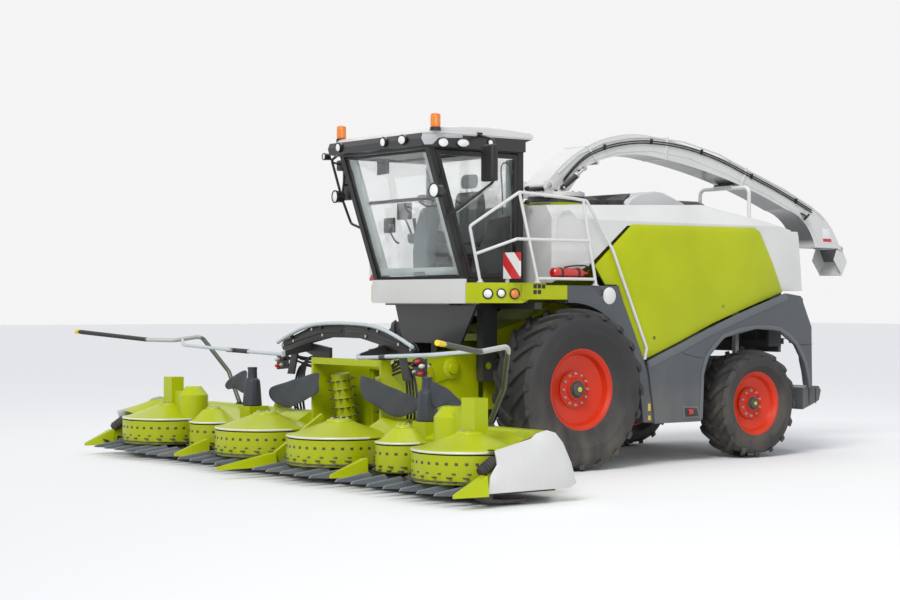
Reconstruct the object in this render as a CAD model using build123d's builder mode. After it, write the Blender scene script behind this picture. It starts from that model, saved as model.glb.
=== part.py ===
# Self-propelled forage harvester with a folding rotary maize header.
# Millimetres, +Z up, the machine's front faces -Y, its left side is +X, the ground is Z = 0.
# Every size below is given with Y = 0 at the front axle; save() sets the pieces in the part's frame.
from math import cos, pi, sin
import os

from build123d import *

os.makedirs("parts", exist_ok=True)

# Frame and fits
origin_y = -985
running_gap = 0.3
panel_gap = 6
sheet = 30

# Wheels
wheelbase = 2880
front_radius = 885
front_width = 600
front_x = 1200
front_rim_radius = 435
rear_radius = 640
rear_width = 490
rear_x = 1075
rear_rim_radius = 368
rim_lip = 10
lug_height = 42
hub_stub_radius = 95
kingpin_x = 690
kingpin_radius = 38
knuckle_radius = 78
knuckle_height = 190
fork_wall = 118
axle_tube_radius = 70

# Main frame
rail_x = 430
rear_rail_x = 340
rail_width = 110
rail_bottom = 960
rail_top = 1180
rail_front = -640
rail_rear = 3560
rail_step = 1300
bearer_top = 1830

# Cab
cab_half = 850
cab_wall = 60
cab_floor_z = 2000
cab_floor_thickness = 80
cab_front_low = (-1184, 2086)
cab_front_high = (-1660, 3480)
cab_rear_y = -366
roof_half = 890
door_thickness = 42

# Body
deck_half = 1180
deck_top = 2984
panel_x = 1220
panel_thickness = 40
fender_x = 1250
fender_wall = 24
fender_inner_x = 866
fender_top = 2020
skirt_x = 1270
skirt_wall = 40
platform_z = 2000
strip_top = 2043
strip_bottom = 1825

# Spout
turret_y = 830
turret_radius = 330
turret_base_z = 2990
turret_height = 130
spout_half = 190
spout_wall = 12
spout_hinge = (520, 3190)
spout_hinge_radius = 28
lift_x = 290
lift_foot = (680, 3165)
lift_head = (1010, 3400)
lift_pin_radius = 14
flap_hinge = (5580, 2553)
spout_joints = (1230, 2400, 3700, 4700)

# Header
header_half = 3750
fold_x = 1500
fold_gap = 14
wing_beam_end = 3200
fold_z = 760
fold_pin_radius = 22
header_pivot = (-560, 1130)
pivot_radius = 40
feeder_half = 340
mouth_half = 640
mouth_rear_y = -1570
mouth_top = 1150
beam_rear_y = -1960
beam_front_y = -2140
beam_bottom = 330
beam_top = 620
pan_bottom = 110
pan_thickness = 40
disc_axis_y = -2700
finger_tip = (-3430, 116)
centre_disc_x = 735
small_disc_x = 1870
outer_disc_x = 2935
large_disc_radius = 600
small_disc_radius = 310
disc_shaft_radius = 60
ring_thickness = 14
lower_ring_z = 195
upper_ring_z = 268
rotor_height = 175
dome_rim_z = 362
dome_top_z = 470
dome_thickness = 16


def save(name, part):
    """Names a finished piece, sets it in the part's frame and writes its file."""
    piece = part.moved(Location((0, origin_y, 0)))
    piece.label = name
    export_step(piece, f"parts/{name}.step")


def save_pair(name, left_part):
    """Writes a left piece and its mirror image on the right."""
    save(f"{name}_left", left_part)
    save(f"{name}_right", left_part.mirror(Plane.YZ))


def block(x, y, z, mode=Mode.ADD):
    """Adds a box between the low and high values of each axis."""
    centre = ((x[0] + x[1]) / 2, (y[0] + y[1]) / 2, (z[0] + z[1]) / 2)
    with Locations(centre):
        Box(x[1] - x[0], y[1] - y[0], z[1] - z[0], mode=mode)


def plate(plane, outline, thickness, mode=Mode.ADD):
    """Adds a plate of the given closed outline, standing on a plane."""
    with BuildSketch(plane) as face:
        with BuildLine():
            Polyline(*outline, close=True)
        make_face()
    extrude(face.sketch, amount=thickness, mode=mode)


def side_plate(outline, x, mode=Mode.ADD):
    """Adds a plate with a (y, z) outline between two x values."""
    plate(Plane.YZ.offset(x[0]), outline, x[1] - x[0], mode)


def front_plate(outline, y, mode=Mode.ADD):
    """Adds a plate with an (x, z) outline between two y values."""
    plate(Plane.XZ.offset(-y[1]), outline, y[1] - y[0], mode)


def top_plate(outline, z, mode=Mode.ADD):
    """Adds a plate with an (x, y) outline between two z values."""
    plate(Plane.XY.offset(z[0]), outline, z[1] - z[0], mode)


def bar(start, end, radius, mode=Mode.ADD):
    """Adds a round bar between two points."""
    direction = Vector(*end) - Vector(*start)
    with BuildSketch(Plane(origin=start, z_dir=direction)) as section:
        Circle(radius)
    extrude(section.sketch, amount=direction.length, mode=mode)


def tube(points, radius, bend):
    """Adds a bent tube through the points, with one bend radius."""
    with BuildLine() as route:
        FilletPolyline(*points, radius=bend)
    path = route.wires()[0]
    with BuildSketch(Plane(origin=path @ 0, z_dir=path % 0)) as section:
        Circle(radius)
    sweep(section.sketch, path=path)


def turned(outline, plane=Plane.YZ):
    """Adds a solid turned about the plane's first axis from (along, radius) points."""
    with BuildSketch(plane) as half:
        with BuildLine():
            Polyline(*outline, close=True)
        make_face()
    revolve(half.sketch, axis=Axis(plane.origin, plane.x_dir))


def tyre(centre, radius, width, rim_radius, lug_count):
    """A tractor tyre with its rows of slanted lugs."""
    side = Plane(origin=centre, x_dir=(1, 0, 0), z_dir=(0, -1, 0))
    half = width / 2
    tread = radius - lug_height
    shoulder = radius * 0.84
    with BuildPart() as body:
        turned([(-half * 0.72, rim_radius + rim_lip), (half * 0.72, rim_radius + rim_lip),
                (half, shoulder * 0.84), (half, shoulder), (half * 0.82, tread - 8), (half * 0.4, tread),
                (-half * 0.4, tread), (-half * 0.82, tread - 8), (-half, shoulder),
                (-half, shoulder * 0.84)], side)
    with BuildPart() as envelope:
        turned([(-half, rim_radius + rim_lip), (half, rim_radius + rim_lip), (half, shoulder * 0.97),
                (half * 0.9, radius - 22), (half * 0.45, radius), (-half * 0.45, radius),
                (-half * 0.9, radius - 22), (-half, shoulder * 0.97)], side)
    lug_depth = lug_height + 40
    with BuildPart() as lugs:
        for index in range(lug_count):
            for hand in (1, -1):
                angle = 360 / lug_count * (index + 0.25 * hand)
                spoke = Location(centre) * Location((0, 0, 0), (angle, 0, 0))
                seat = Location((hand * half * 0.52, 0, radius - lug_depth / 2), (0, 0, hand * 43))
                with Locations(spoke * seat):
                    Box(half * 1.28, 52, lug_depth)
    with BuildPart() as whole:
        add(body.part)
        add(lugs.part)
        add(envelope.part, mode=Mode.INTERSECT)
    return whole.part


def rim(centre, radius, width, disc_offset):
    """A dished wheel: barrel, flanges, disc and hub, with the bore for its axle stub."""
    side = Plane(origin=centre, x_dir=(1, 0, 0), z_dir=(0, -1, 0))
    half = width * 0.36
    disc = disc_offset
    with BuildPart() as wheel:
        turned([(-half, radius - 6), (-half, radius + rim_lip), (-half + 26, radius + rim_lip),
                (half - 26, radius + rim_lip), (half, radius + rim_lip), (half, radius - 6),
                (half - 30, radius - 40), (disc + 60, radius - 62), (disc + 8, radius * 0.5),
                (disc + 8, hub_stub_radius + 60), (disc + 40, hub_stub_radius + 30),
                (disc + 62, hub_stub_radius), (disc + 62, 0), (disc - 60, 0),
                (disc - 60, hub_stub_radius + 40), (disc - 12, hub_stub_radius + 60),
                (disc - 12, radius * 0.5), (disc - 12, radius - 78), (-half + 30, radius - 30)], side)
        stub_bore = hub_stub_radius + running_gap
        bar((centre[0] + disc - 61, centre[1], centre[2]), (centre[0] + disc - 5, centre[1], centre[2]),
            stub_bore, Mode.SUBTRACT)
    return wheel.part


front_disc = 60
rear_disc = 40
front_centre = (front_x, 0, front_radius)
rear_centre = (rear_x, wheelbase, rear_radius)
save_pair("tyre_front", tyre(front_centre, front_radius, front_width, front_rim_radius, 20))
save_pair("rim_front", rim(front_centre, front_rim_radius, front_width, front_disc))
save_pair("tyre_rear", tyre(rear_centre, rear_radius, rear_width, rear_rim_radius, 16))
save_pair("rim_rear", rim(rear_centre, rear_rim_radius, rear_width, rear_disc))

# Axles. Front: portal housings with hub stubs, a gearbox and the tube between them.
# Rear: a rocking beam with forked ends that hold the kingpins, and the steering cylinder behind it.
fork_gap = knuckle_height / 2 + running_gap
with BuildPart() as axles:
    bar((-front_x + 330, 0, front_radius), (front_x - 330, 0, front_radius), axle_tube_radius)
    for side in (1, -1):
        bar((side * (front_x - 340), 0, front_radius), (side * (front_x - 60), 0, front_radius), 190)
        bar((side * (front_x - 80), 0, front_radius), (side * (front_x + front_disc - 6), 0, front_radius),
            hub_stub_radius)
        block(sorted((side * (rail_x - 90), side * (rail_x + 90))), (-110, 110),
              (front_radius, rail_bottom))
    block((-170, 170), (-130, 170), (front_radius - 180, front_radius + 60))
    beam_x = kingpin_x - fork_wall
    block((-beam_x, beam_x), (wheelbase - 80, wheelbase + 80), (rear_radius - 90, rear_radius + 90))
    for side in (1, -1):
        for level in (1, -1):
            z = sorted((rear_radius + level * fork_gap, rear_radius + level * (fork_gap + 45)))
            block(sorted((side * (beam_x - 60), side * (kingpin_x + 70))), (wheelbase - 80, wheelbase + 80),
                  z)
        bar((side * kingpin_x, wheelbase, rear_radius - fork_gap - 45), (side * kingpin_x, wheelbase,
            rear_radius + fork_gap + 45), kingpin_radius)
        block(sorted((side * (beam_x - 60), side * beam_x)), (wheelbase - 80, wheelbase + 80),
              (rear_radius - fork_gap - 45, rear_radius + fork_gap + 45))
    bar((-330, wheelbase + 130, rear_radius), (330, wheelbase + 130, rear_radius), 45)
    block((-120, 120), (wheelbase + 60, wheelbase + 130), (rear_radius - 40, rear_radius + 40))
    bar((0, wheelbase - 130, rear_radius + 110), (0, wheelbase + 130, rear_radius + 110), 60)
    block((-rear_rail_x - 60, rear_rail_x + 60), (wheelbase - 60, wheelbase + 60),
          (rear_radius + 165, rear_radius + 215))
    block((-60, 60), (wheelbase - 60, wheelbase + 60), (rear_radius + 60, rear_radius + 200))
save("axles", axles.part)

with BuildPart() as knuckle:
    with Locations((kingpin_x, wheelbase, rear_radius)):
        Cylinder(knuckle_radius, knuckle_height)
    bar((kingpin_x + 40, wheelbase, rear_radius), (rear_x - rear_disc, wheelbase, rear_radius), 70)
    bar((rear_x - rear_disc - 60, wheelbase, rear_radius), (rear_x + rear_disc - 6, wheelbase, rear_radius),
        hub_stub_radius)
    block((kingpin_x - 30, kingpin_x + 30), (wheelbase + 40, wheelbase + 210),
          (rear_radius - 20, rear_radius + 20))
    with Locations((kingpin_x, wheelbase, rear_radius)):
        Cylinder(kingpin_radius + running_gap, knuckle_height, mode=Mode.SUBTRACT)
save_pair("steering_knuckle", knuckle.part)

# Main frame: stepped rails, cross members, the bearers under the cab and the rear posts
door_half = 830
post_x = (836, 880)
door_hinge = (845, 3768)
door_front_y = 3705
tie_x = 440
tie_z = 990
tie_radius = 18
seam_gap = 0.3
rail_inside = rear_rail_x - rail_width / 2
rail_outside = rail_x + rail_width / 2
with BuildPart() as main_frame:
    for side in (1, -1):
        front_rail = sorted((side * (rail_x - rail_width / 2), side * rail_outside))
        rear_rail = sorted((side * rail_inside, side * (rear_rail_x + rail_width / 2)))
        block(front_rail, (rail_front, rail_step + 120), (rail_bottom, rail_top))
        block(rear_rail, (rail_step, rail_rear), (rail_bottom, rail_top))
        block(sorted((side * (rear_rail_x - 60), side * (rear_rail_x + 60))),
              (wheelbase - 60, wheelbase + 60), (rear_radius + 215, rail_bottom))
        block(front_rail, (rail_front, -440), (rail_top, bearer_top))
        block(front_rail, (-1000, -440), (bearer_top - 80, bearer_top))
        block(sorted((side * (rail_outside + seam_gap), side * (fender_x - 35))), (-500, -400),
              (bearer_top - 70, bearer_top))
        block(rear_rail, (rail_rear - 80, rail_rear), (rail_top, 1300 - seam_gap))
        block(sorted((side * (rear_rail_x + 50), side * (tie_x + 36))), (3392, 3465),
              (tie_z - 10, tie_z + 10))
        bar((side * tie_x, 3420, tie_z - 15), (side * tie_x, 3420, tie_z + 15), tie_radius, Mode.SUBTRACT)
        block(sorted((side * post_x[0], side * post_x[1])), (rail_rear - 80, door_front_y - 5),
              (1300, 1982))
        bar((side * (rail_x - 60), header_pivot[0], header_pivot[1]), (side * (rail_x + 60),
                                                                       header_pivot[0], header_pivot[1]),
            pivot_radius + running_gap, Mode.SUBTRACT)
    block((-post_x[1], post_x[1]), (rail_rear - 80, rail_rear), (1300, 1380))
    for y in (rail_step, 2150, rail_rear - 140):
        block((-rail_inside + seam_gap, rail_inside - seam_gap), (y, y + 120),
              (rail_bottom + 20, rail_top - 20))
    for z in (1392, 1832):
        block(post_x, (door_front_y - 6, door_hinge[1] + 12), (z, z + 10))
        bar((*door_hinge, z - 66), (*door_hinge, z + 10), 8)
save("main_frame", main_frame.part)

# Engine, one block across the frame
with BuildPart() as engine:
    block((-620, 620), (1620, 2520), (rail_top, 2150))
save("engine_block", engine.part)

# Crop flow: chopper housing ahead of the axle and the duct up to the spout's turret
chopper_front = -500
with BuildPart() as crop_duct:
    side_plate([(chopper_front, 640), (-240, 640), (-150, 1010), (420, 1010), (760, 1130),
                (turret_y + 260, 1500), (turret_y + 260, turret_base_z), (turret_y - 260, turret_base_z),
                (turret_y - 260, 1900), (100, 1640), (chopper_front, 1480)], (-370, 370))
    side_plate([(chopper_front - 1, 720), (-290, 720), (-200, 1075), (400, 1075), (720, 1190),
                (turret_y + 200, 1530), (turret_y + 200, turret_base_z + 1),
                (turret_y - 200, turret_base_z + 1), (turret_y - 200, 1860), (130, 1570),
                (chopper_front - 1, 1400)], (-310, 310), Mode.SUBTRACT)
    for side in (1, -1):
        for y in (-430, 700):
            block(sorted((side * 369, side * (rail_x - rail_width / 2))), (y, y + 160), (1020, 1150))
save("crop_duct", crop_duct.part)

# Engine hood: a white deck with sloping shoulders, open below, and the raised air intake on top
hood_side = [(-238, 2900), (2188, deck_top), (2619, 2904), (3146, 2811), (3540, 2714), (3545, 2700),
             (3660, 2700), (3680, 2640), (3745, 1982), (3330, 1982), (3160, 2360), (2940, 2700),
             (870, 2700), (300, 2240), (-238, 2050)]
hood_inside = [(-210, 1900), (-210, 2868), (2185, 2952), (2612, 2873), (3140, 2780), (3530, 2684),
               (3630, 2660), (3652, 2630), (3718, 1900)]


def hood_shell(outline, half):
    """Hood outline extruded across the machine, with both shoulders chamfered."""
    with BuildPart() as shell:
        side_plate(outline, (-half, half))
        for side in (1, -1):
            front_plate([(side * (half - 190), deck_top + 60), (side * (half + 60), deck_top + 60),
                         (side * (half + 60), deck_top - 320)], (-400, 4000), Mode.SUBTRACT)
    return shell.part


with BuildPart() as hood:
    add(hood_shell(hood_side, deck_half))
    add(hood_shell(hood_inside, deck_half - sheet), mode=Mode.SUBTRACT)
    side_plate([(1120, 2935), (1545, 3124), (1700, 3110), (2025, 2990), (2025, 2960)], (-900, 900))
    block((-430, 430), (turret_y - 300, turret_y + 290), (2600, 3100), Mode.SUBTRACT)
    for side in (1, -1):
        block(sorted((side * 400, side * 460)), (1330, 1390), (rail_top, 2940))
        block(sorted((side * 320, side * 380)), (3420, 3478), (rail_top, 2720))
save("engine_hood", hood.part)

# Green side panels with their swept front edge, fixed to the hood's sides
panel_outline = [(934, 2716), (2897, 2732), (2993, 2681), (3194, 2323), (3374, 1967), (2670, 1750),
                 (2070, 1548), (1603, 1367), (1145, 1201), (1088, 1172), (1080, 1180), (912, 1533),
                 (757, 1855), (692, 2030), (520, 2030), (371, 2246)]
with BuildPart() as panels:
    for side in (1, -1):
        side_plate(panel_outline, sorted((side * (panel_x - panel_thickness), side * panel_x)))
save("side_panels", panels.part)

# Front fenders: outer sheet, top shelf, rear wall and the arched liner over each wheel
fender_clear = 60
fender_edge = [(-366, fender_top), (680, fender_top), (750, 1850), (905, 1530), (1070, 1175), (1130, 1020),
               (1155, 840), (1190, 660), (1210, 480)]
fender_outline = fender_edge + [(1062, 480), (1040, 660), (1010, 840), (945, 1030), (800, 1000), (0, 1300),
                                (-30, 1800), (-70, 1868), (-366, 1872)]
wall_outline = fender_edge[1:] + [(1180, 480), (1160, 660), (1125, 840), (1100, 1010), (1040, 1165),
                                  (878, 1520), (722, 1840), (662, fender_top - 20)]
with BuildPart() as liner:
    arch = front_radius + fender_clear
    turned([(fender_inner_x, arch), (fender_inner_x, arch + 16), (fender_x - fender_wall + 1, arch + 16),
            (fender_x - fender_wall + 1, arch)], Plane(origin=(0, 0, front_radius), x_dir=(1, 0, 0),
                                                       z_dir=(0, -1, 0)))
    side_plate([(-80, 1700), (-80, 2000), (1300, 2000), (1300, 480), (700, 480), (300, 1400)],
               (fender_inner_x, fender_x), Mode.INTERSECT)
with BuildPart() as fender:
    side_plate(fender_outline, (fender_x - fender_wall, fender_x))
    bar((fender_x - 60, 0, front_radius), (fender_x + 10, 0, front_radius), front_radius + fender_clear,
        Mode.SUBTRACT)
    side_plate(wall_outline, (fender_inner_x, fender_x - 1))
    block((fender_inner_x, fender_x - 1), (-366, 690), (fender_top - 35, fender_top))
    add(liner.part)
    block((rail_x + rail_width / 2, fender_inner_x + 40), (1070, 1110), (1040, 1100))
with BuildPart() as fenders:
    add(fender.part)
    add(fender.part.mirror(Plane.YZ))
save("front_fenders", fenders.part)

# Slate skirts from the fenders to the rear end, arched for the steered wheels
skirt_outline = [(1217, 463), (1921, 463), (1969, 484), (1990, 1000), (2064, 1196), (2323, 1425),
                 (2854, 1526), (3250, 1500), (3530, 1330), (3690, 1100), (3770, 808), (3830, 809),
                 (3815, 1545), (3629, 1918), (3374, 1950), (2670, 1733), (2070, 1531), (1603, 1350),
                 (1100, 1168), (1137, 1022), (1162, 840), (1197, 660)]
with BuildPart() as skirts:
    for side in (1, -1):
        outer_skin = sorted((side * (skirt_x - skirt_wall), side * skirt_x))
        side_plate(skirt_outline, outer_skin)
        block(sorted((side * 560, side * (skirt_x - 1))), (1220, 1921), (463, 499))
        block(sorted((side * (rear_rail_x + rail_width / 2), side * (skirt_x - skirt_wall))), (1500, 1560),
              (1000, 1100))
        block(sorted((side * post_x[1], side * (skirt_x - skirt_wall))), (rail_rear - 80, rail_rear - 20),
              (1560, 1640))
save("rear_skirts", skirts.part)

# Rear end: weight and tow coupling, and the screen door of the cooler
coupling_y = 4190
coupling_z = 620
with BuildPart() as weight:
    side_plate([(3795, 800), (4080, 815), (4120, 760), (4085, 640), (3960, 590), (3795, 535)],
               (-1150, 1150))
    for side in (1, -1):
        x = sorted((side * (rear_rail_x - rail_width / 2), side * (rear_rail_x + rail_width / 2)))
        side_plate([(rail_rear, rail_top), (rail_rear, 600), (3800, 600), (3800, 800), (3640, rail_top)], x)
    block((-70, 70), (4000, coupling_y + 50), (coupling_z - 30, coupling_z + 30))
    with Locations((0, coupling_y, coupling_z)):
        Cylinder(20, 80, mode=Mode.SUBTRACT)
save("rear_weight", weight.part)

screen_low = 1230
screen_high = 1930
with BuildPart() as rear_door:
    block((-door_half, door_half), (door_front_y, door_front_y + 45), (screen_low, screen_high))
    block((-door_half + 60, door_half - 60), (door_front_y - 5, door_front_y + 30),
          (screen_low + 60, screen_high - 60), Mode.SUBTRACT)
    for column in range(1, 8):
        x = -door_half + 60 + column * (2 * door_half - 120) / 8
        block((x - 8, x + 8), (door_front_y, door_front_y + 35), (screen_low + 50, screen_high - 50))
    for z in (1330, 1770):
        block((door_half - 70, door_hinge[0]), (door_front_y + 45, door_hinge[1] - 6), (z, z + 60))
        bar((*door_hinge, z), (*door_hinge, z + 60), 12)
        bar((*door_hinge, z), (*door_hinge, z + 60), 8 + running_gap, Mode.SUBTRACT)
save("rear_screen_door", rear_door.part)

# Platform beside the cab with its lamp strip, and the ledge on the right
strip_outer = [(905, -1200), (1050, -1125), (1160, -1010), (1220, -880), (fender_x, -720), (fender_x, -372)]
strip_inner = [(fender_x - 24, -372), (fender_x - 24, -715), (1197, -868), (1140, -995), (1035, -1100),
               (905, -1172)]
with BuildPart() as platform:
    top_plate(strip_outer + strip_inner, (strip_bottom, strip_top))
    side_plate([(-701, strip_bottom - 1), (-601, 1865), (-371, 1865), (-371, strip_bottom - 1)],
               (fender_x - 30, fender_x + 20), Mode.SUBTRACT)
    block((fender_x + running_gap, fender_x + 12), (-720, -80), (1865, fender_top - running_gap))
    block((fender_x - 4, fender_x + 12), (-720, -373), (1865, fender_top - running_gap))
    top_plate([(904, -366), (fender_x - 23, -366), (fender_x - 23, -714), (1198, -866), (1141, -993),
               (1036, -1098), (904, -1170)], (platform_z - 40, platform_z))
    top_plate([(-904, -868), (-fender_x, -868), (-fender_x, -366), (-904, -366)],
              (platform_z - 40, platform_z))
    block((-fender_x, -fender_x + 24), (-868, -372), (1865, strip_top))
    for side in (1, -1):
        block(sorted((side * 904, side * 964)), (-500, -400), (bearer_top, platform_z))
save("platform", platform.part)

rail_r = 17
hand_x = 1280
with BuildPart() as handrails:
    tube([(1030, -1100, strip_top + 5), (1050, -1260, 2640), (1140, -1080, 2780), (hand_x, -770, 3010),
          (hand_x, -20, 2970), (hand_x, 180, 2950), (hand_x, 570, 2410), (hand_x, 1080, 1320),
          (fender_x + 14, 1068, 1195)], rail_r, 40)
    bar((hand_x, -510, strip_top + 4), (hand_x, -770, 3010), rail_r)
    bar((hand_x, 320, fender_top + 4), (hand_x, 130, 2955), rail_r)
    bar((1045, -1170, 2350), (hand_x, -800, 2510), rail_r)
    bar((hand_x, -800, 2510), (hand_x, 230, 2510), rail_r)
    bar((hand_x, -510, 2090), (hand_x, 310, 2090), rail_r)
    block((1002, 1058), (-1128, -1072), (strip_top, strip_top + 6))
    for y, z in ((-510, strip_top), (320, fender_top)):
        block((fender_x - 24, hand_x + 18), (y - 28, y + 28), (z, z + 6))
save("handrails", handrails.part)

# Arch that carries the folded-down spout
arch_y = 3600
arch_half = 430
arch_top = 3279
with BuildPart() as arch:
    tube([(-arch_half, arch_y, 2700), (-arch_half, arch_y, arch_top), (arch_half, arch_y, arch_top),
          (arch_half, arch_y, 2700)], 24, 80)
    block((-160, 160), (arch_y - 35, arch_y + 35), (arch_top + 10, arch_top + 32))
save("spout_rest_arch", arch.part)

# Cab shell: floor, slanted front pillars, rear pillars and top frame, with its windows cut
cab_slope = (cab_front_high[0] - cab_front_low[0]) / (cab_front_high[1] - cab_front_low[1])


def pillar_y(z, inset=0):
    """Y of the slanted front pillar line at a height, moved inwards by an inset."""
    return cab_front_low[0] + (z - cab_front_low[1]) * cab_slope + inset


cab_bottom = bearer_top
cab_outline = [(cab_front_low[0], cab_bottom), (cab_rear_y, cab_bottom), (cab_rear_y, cab_front_high[1]),
               cab_front_high, cab_front_low]
opening_low = cab_front_low[1] + 10
opening_high = cab_front_high[1] - 14
pillar = 75
hinge_x = cab_half + 10
door_drop = 10
hinge_levels = (2300, 3150)
hinge_pin_radius = 5


def door_outline(inset, drop=0):
    """Outline of the door opening in the cab's left wall, moved inwards by an inset, with a lowered top edge."""
    low = opening_low + inset
    high = opening_high - inset - drop
    rear = cab_rear_y - pillar - inset
    return [(pillar_y(low, pillar + inset), low), (rear, low), (rear, high),
            (pillar_y(high, pillar + inset), high)]


def hinge_point(z):
    """Point on the door's hinge line, which runs up the slanted pillar."""
    return (hinge_x, pillar_y(z, pillar + panel_gap), z)


def hinge_leaf(z, reach):
    """Leaf from the hinge line over the outer face, forwards or rearwards."""
    side_plate([(pillar_y(z, pillar + panel_gap), z), (pillar_y(z, pillar + panel_gap + reach), z),
                (pillar_y(z + 40, pillar + panel_gap + reach), z + 40), (pillar_y(z + 40,
                                                                                  pillar + panel_gap),
                                                                         z + 40)], (cab_half, hinge_x))


with BuildPart() as cab:
    side_plate(cab_outline, (-cab_half, cab_half))
    inner_low = cab_floor_z + cab_floor_thickness
    side_plate([(pillar_y(inner_low, cab_wall), inner_low), (cab_rear_y - cab_wall, inner_low),
                (cab_rear_y - cab_wall, cab_front_high[1] - 40), (pillar_y(cab_front_high[1] - 40,
                                                                           cab_wall),
                                                                  cab_front_high[1] - 40)],
               (-cab_half + cab_wall, cab_half - cab_wall), Mode.SUBTRACT)
    side_plate(door_outline(0), (cab_half - cab_wall - 1, cab_half + 1), Mode.SUBTRACT)
    side_plate(door_outline(0), (-cab_half - 1, -cab_half + cab_wall + 1), Mode.SUBTRACT)
    front_plate([(-cab_half + pillar, opening_low), (cab_half - pillar, opening_low),
                 (cab_half - pillar, opening_high), (-cab_half + pillar, opening_high)], (-1900, -900),
                Mode.SUBTRACT)
    front_plate([(-cab_half + pillar, opening_low + 420), (cab_half - pillar, opening_low + 420),
                 (cab_half - pillar, opening_high), (-cab_half + pillar, opening_high)], (-500, -300),
                Mode.SUBTRACT)
    for z in hinge_levels:
        hinge_leaf(z, -40)
        bar(hinge_point(z), hinge_point(z + 40), 9)
        bar(hinge_point(z), hinge_point(z + 86), hinge_pin_radius)
save("cab_frame", cab.part)

# White front panel below the windscreen, curved back at its ends
with BuildPart() as front_panel:
    top_plate([(-905, -1150), (-870, -1196), (-700, -1214), (0, -1226), (700, -1218), (900, -1206),
               (900, -1185.3), (-850, -1185.3), (-880, -1130)], (1822, 2084))
    front_plate([(-640, 1822), (890, 1822), (600, 1380), (-480, 1380)], (-1040, -1010))
    block((-600, 600), (-1200, -1009), (1800, cab_bottom - running_gap))
save("front_panel", front_panel.part)

glass = 8
glass_gap = running_gap


def pane(outline_low, outline_high, x):
    """Slanted windscreen pane in the plane of the front pillars."""
    side_plate([(pillar_y(outline_low, 26), outline_low), (pillar_y(outline_low, 26 + glass), outline_low),
                (pillar_y(outline_high, 26 + glass), outline_high), (pillar_y(outline_high, 26),
                                                                     outline_high)], x)


with BuildPart() as windows:
    pane(opening_low + glass_gap, opening_high - glass_gap, (-cab_half + pillar + glass_gap,
         cab_half - pillar - glass_gap))
    side_plate(door_outline(glass_gap), (-cab_half + 20, -cab_half + 20 + glass))
    block((-cab_half + pillar + glass_gap, cab_half - pillar - glass_gap), (cab_rear_y - 34,
                                                                            cab_rear_y - 26),
          (opening_low + 420 + glass_gap, opening_high - glass_gap))
save("cab_windows", windows.part)

with BuildPart() as door:
    side_plate(door_outline(panel_gap, door_drop), (cab_half - door_thickness, cab_half))
    side_plate(door_outline(panel_gap + 46, door_drop), (cab_half - door_thickness - 1, cab_half + 1),
               Mode.SUBTRACT)
    block((cab_half, cab_half + 30), (cab_rear_y - pillar - 52, cab_rear_y - pillar - 22), (2300, 2460))
    for z in hinge_levels:
        hinge_leaf(z + 46, 40)
        bar(hinge_point(z + 46), hinge_point(z + 86), 9)
        bar(hinge_point(z + 40), hinge_point(z + 90), hinge_pin_radius + running_gap, Mode.SUBTRACT)
save("cab_door", door.part)

with BuildPart() as door_glass:
    side_plate(door_outline(panel_gap + 46 + glass_gap, door_drop), (cab_half - 25, cab_half - 25 + glass))
save("cab_door_glass", door_glass.part)

# Roof with its black visor band, bored for the work lamps
lamp_columns = (-655, 220, 575)
lamp_radius = 58
lamp_z = 3560
with BuildPart() as roof:
    side_plate([(-1775, 3490), (-1795, 3560), (-1770, 3618), (-1660, 3645), (-1560, 3645), (-1480, 3662),
                (-900, 3700), (-300, 3690), (-250, 3655), (-275, 3622), (cab_rear_y, 3590),
                (cab_rear_y, cab_front_high[1]), (-1660, cab_front_high[1])], (-roof_half, roof_half))
    fillet(roof.edges().filter_by(Axis.X).sort_by(Axis.Z)[-3:], 30)
    for x in lamp_columns:
        bar((x, -1900, lamp_z), (x, -1745, lamp_z), lamp_radius + running_gap, Mode.SUBTRACT)
save("cab_roof", roof.part)

with BuildPart() as interior:
    floor_z = cab_floor_z + cab_floor_thickness
    block((-260, 260), (-900, -480), (floor_z, floor_z + 260))
    block((-270, 270), (-960, -470), (floor_z + 260, floor_z + 400))
    side_plate([(-560, floor_z + 400), (-460, floor_z + 400), (-440, floor_z + 1000),
                (-500, floor_z + 1000)], (-240, 240))
    block((-130, 130), (-500, -440), (floor_z + 1000, floor_z + 1190))
    side_plate([(-1080, floor_z), (-980, floor_z), (-1060, floor_z + 760), (-1110, floor_z + 760)],
               (-60, 60))
    with Locations(Location((0, -1030, floor_z + 800), (25, 0, 0))):
        Cylinder(210, 26)
    block((-390, -270), (-1000, -520), (floor_z, floor_z + 560))
save("cab_interior", interior.part)

# Lamps and beacons, mirror frame, warning boards
with BuildPart() as lamps:
    for x in lamp_columns:
        bar((x, -1808, lamp_z), (x, -1745 - running_gap, lamp_z), lamp_radius)
    bar((960, -1660, 3010), (960, -1590, 3010), 72)
    bar((960, -1625, 3010), (870, -1472, 3010), 16)
    block((cab_half, 874), (-1496, -1446), (2985, 3035))
    for side in (1, -1):
        block(sorted((side * 800, side * 945)), (-1645, -1565), (3645, 3659))
        with Locations((side * 900, -1605, 3655)):
            Cylinder(52, 165, align=(Align.CENTER, Align.CENTER, Align.MIN))
save("lamps", lamps.part)

with BuildPart() as boards:
    for side in (1, -1):
        block(sorted((side * 1129, side * 1409)), (-868, -850), (2085, 2365))
        block(sorted((side * 1145, side * 1185)), (-850, -830), (platform_z, 2330))
save("warning_boards", boards.part)

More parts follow.
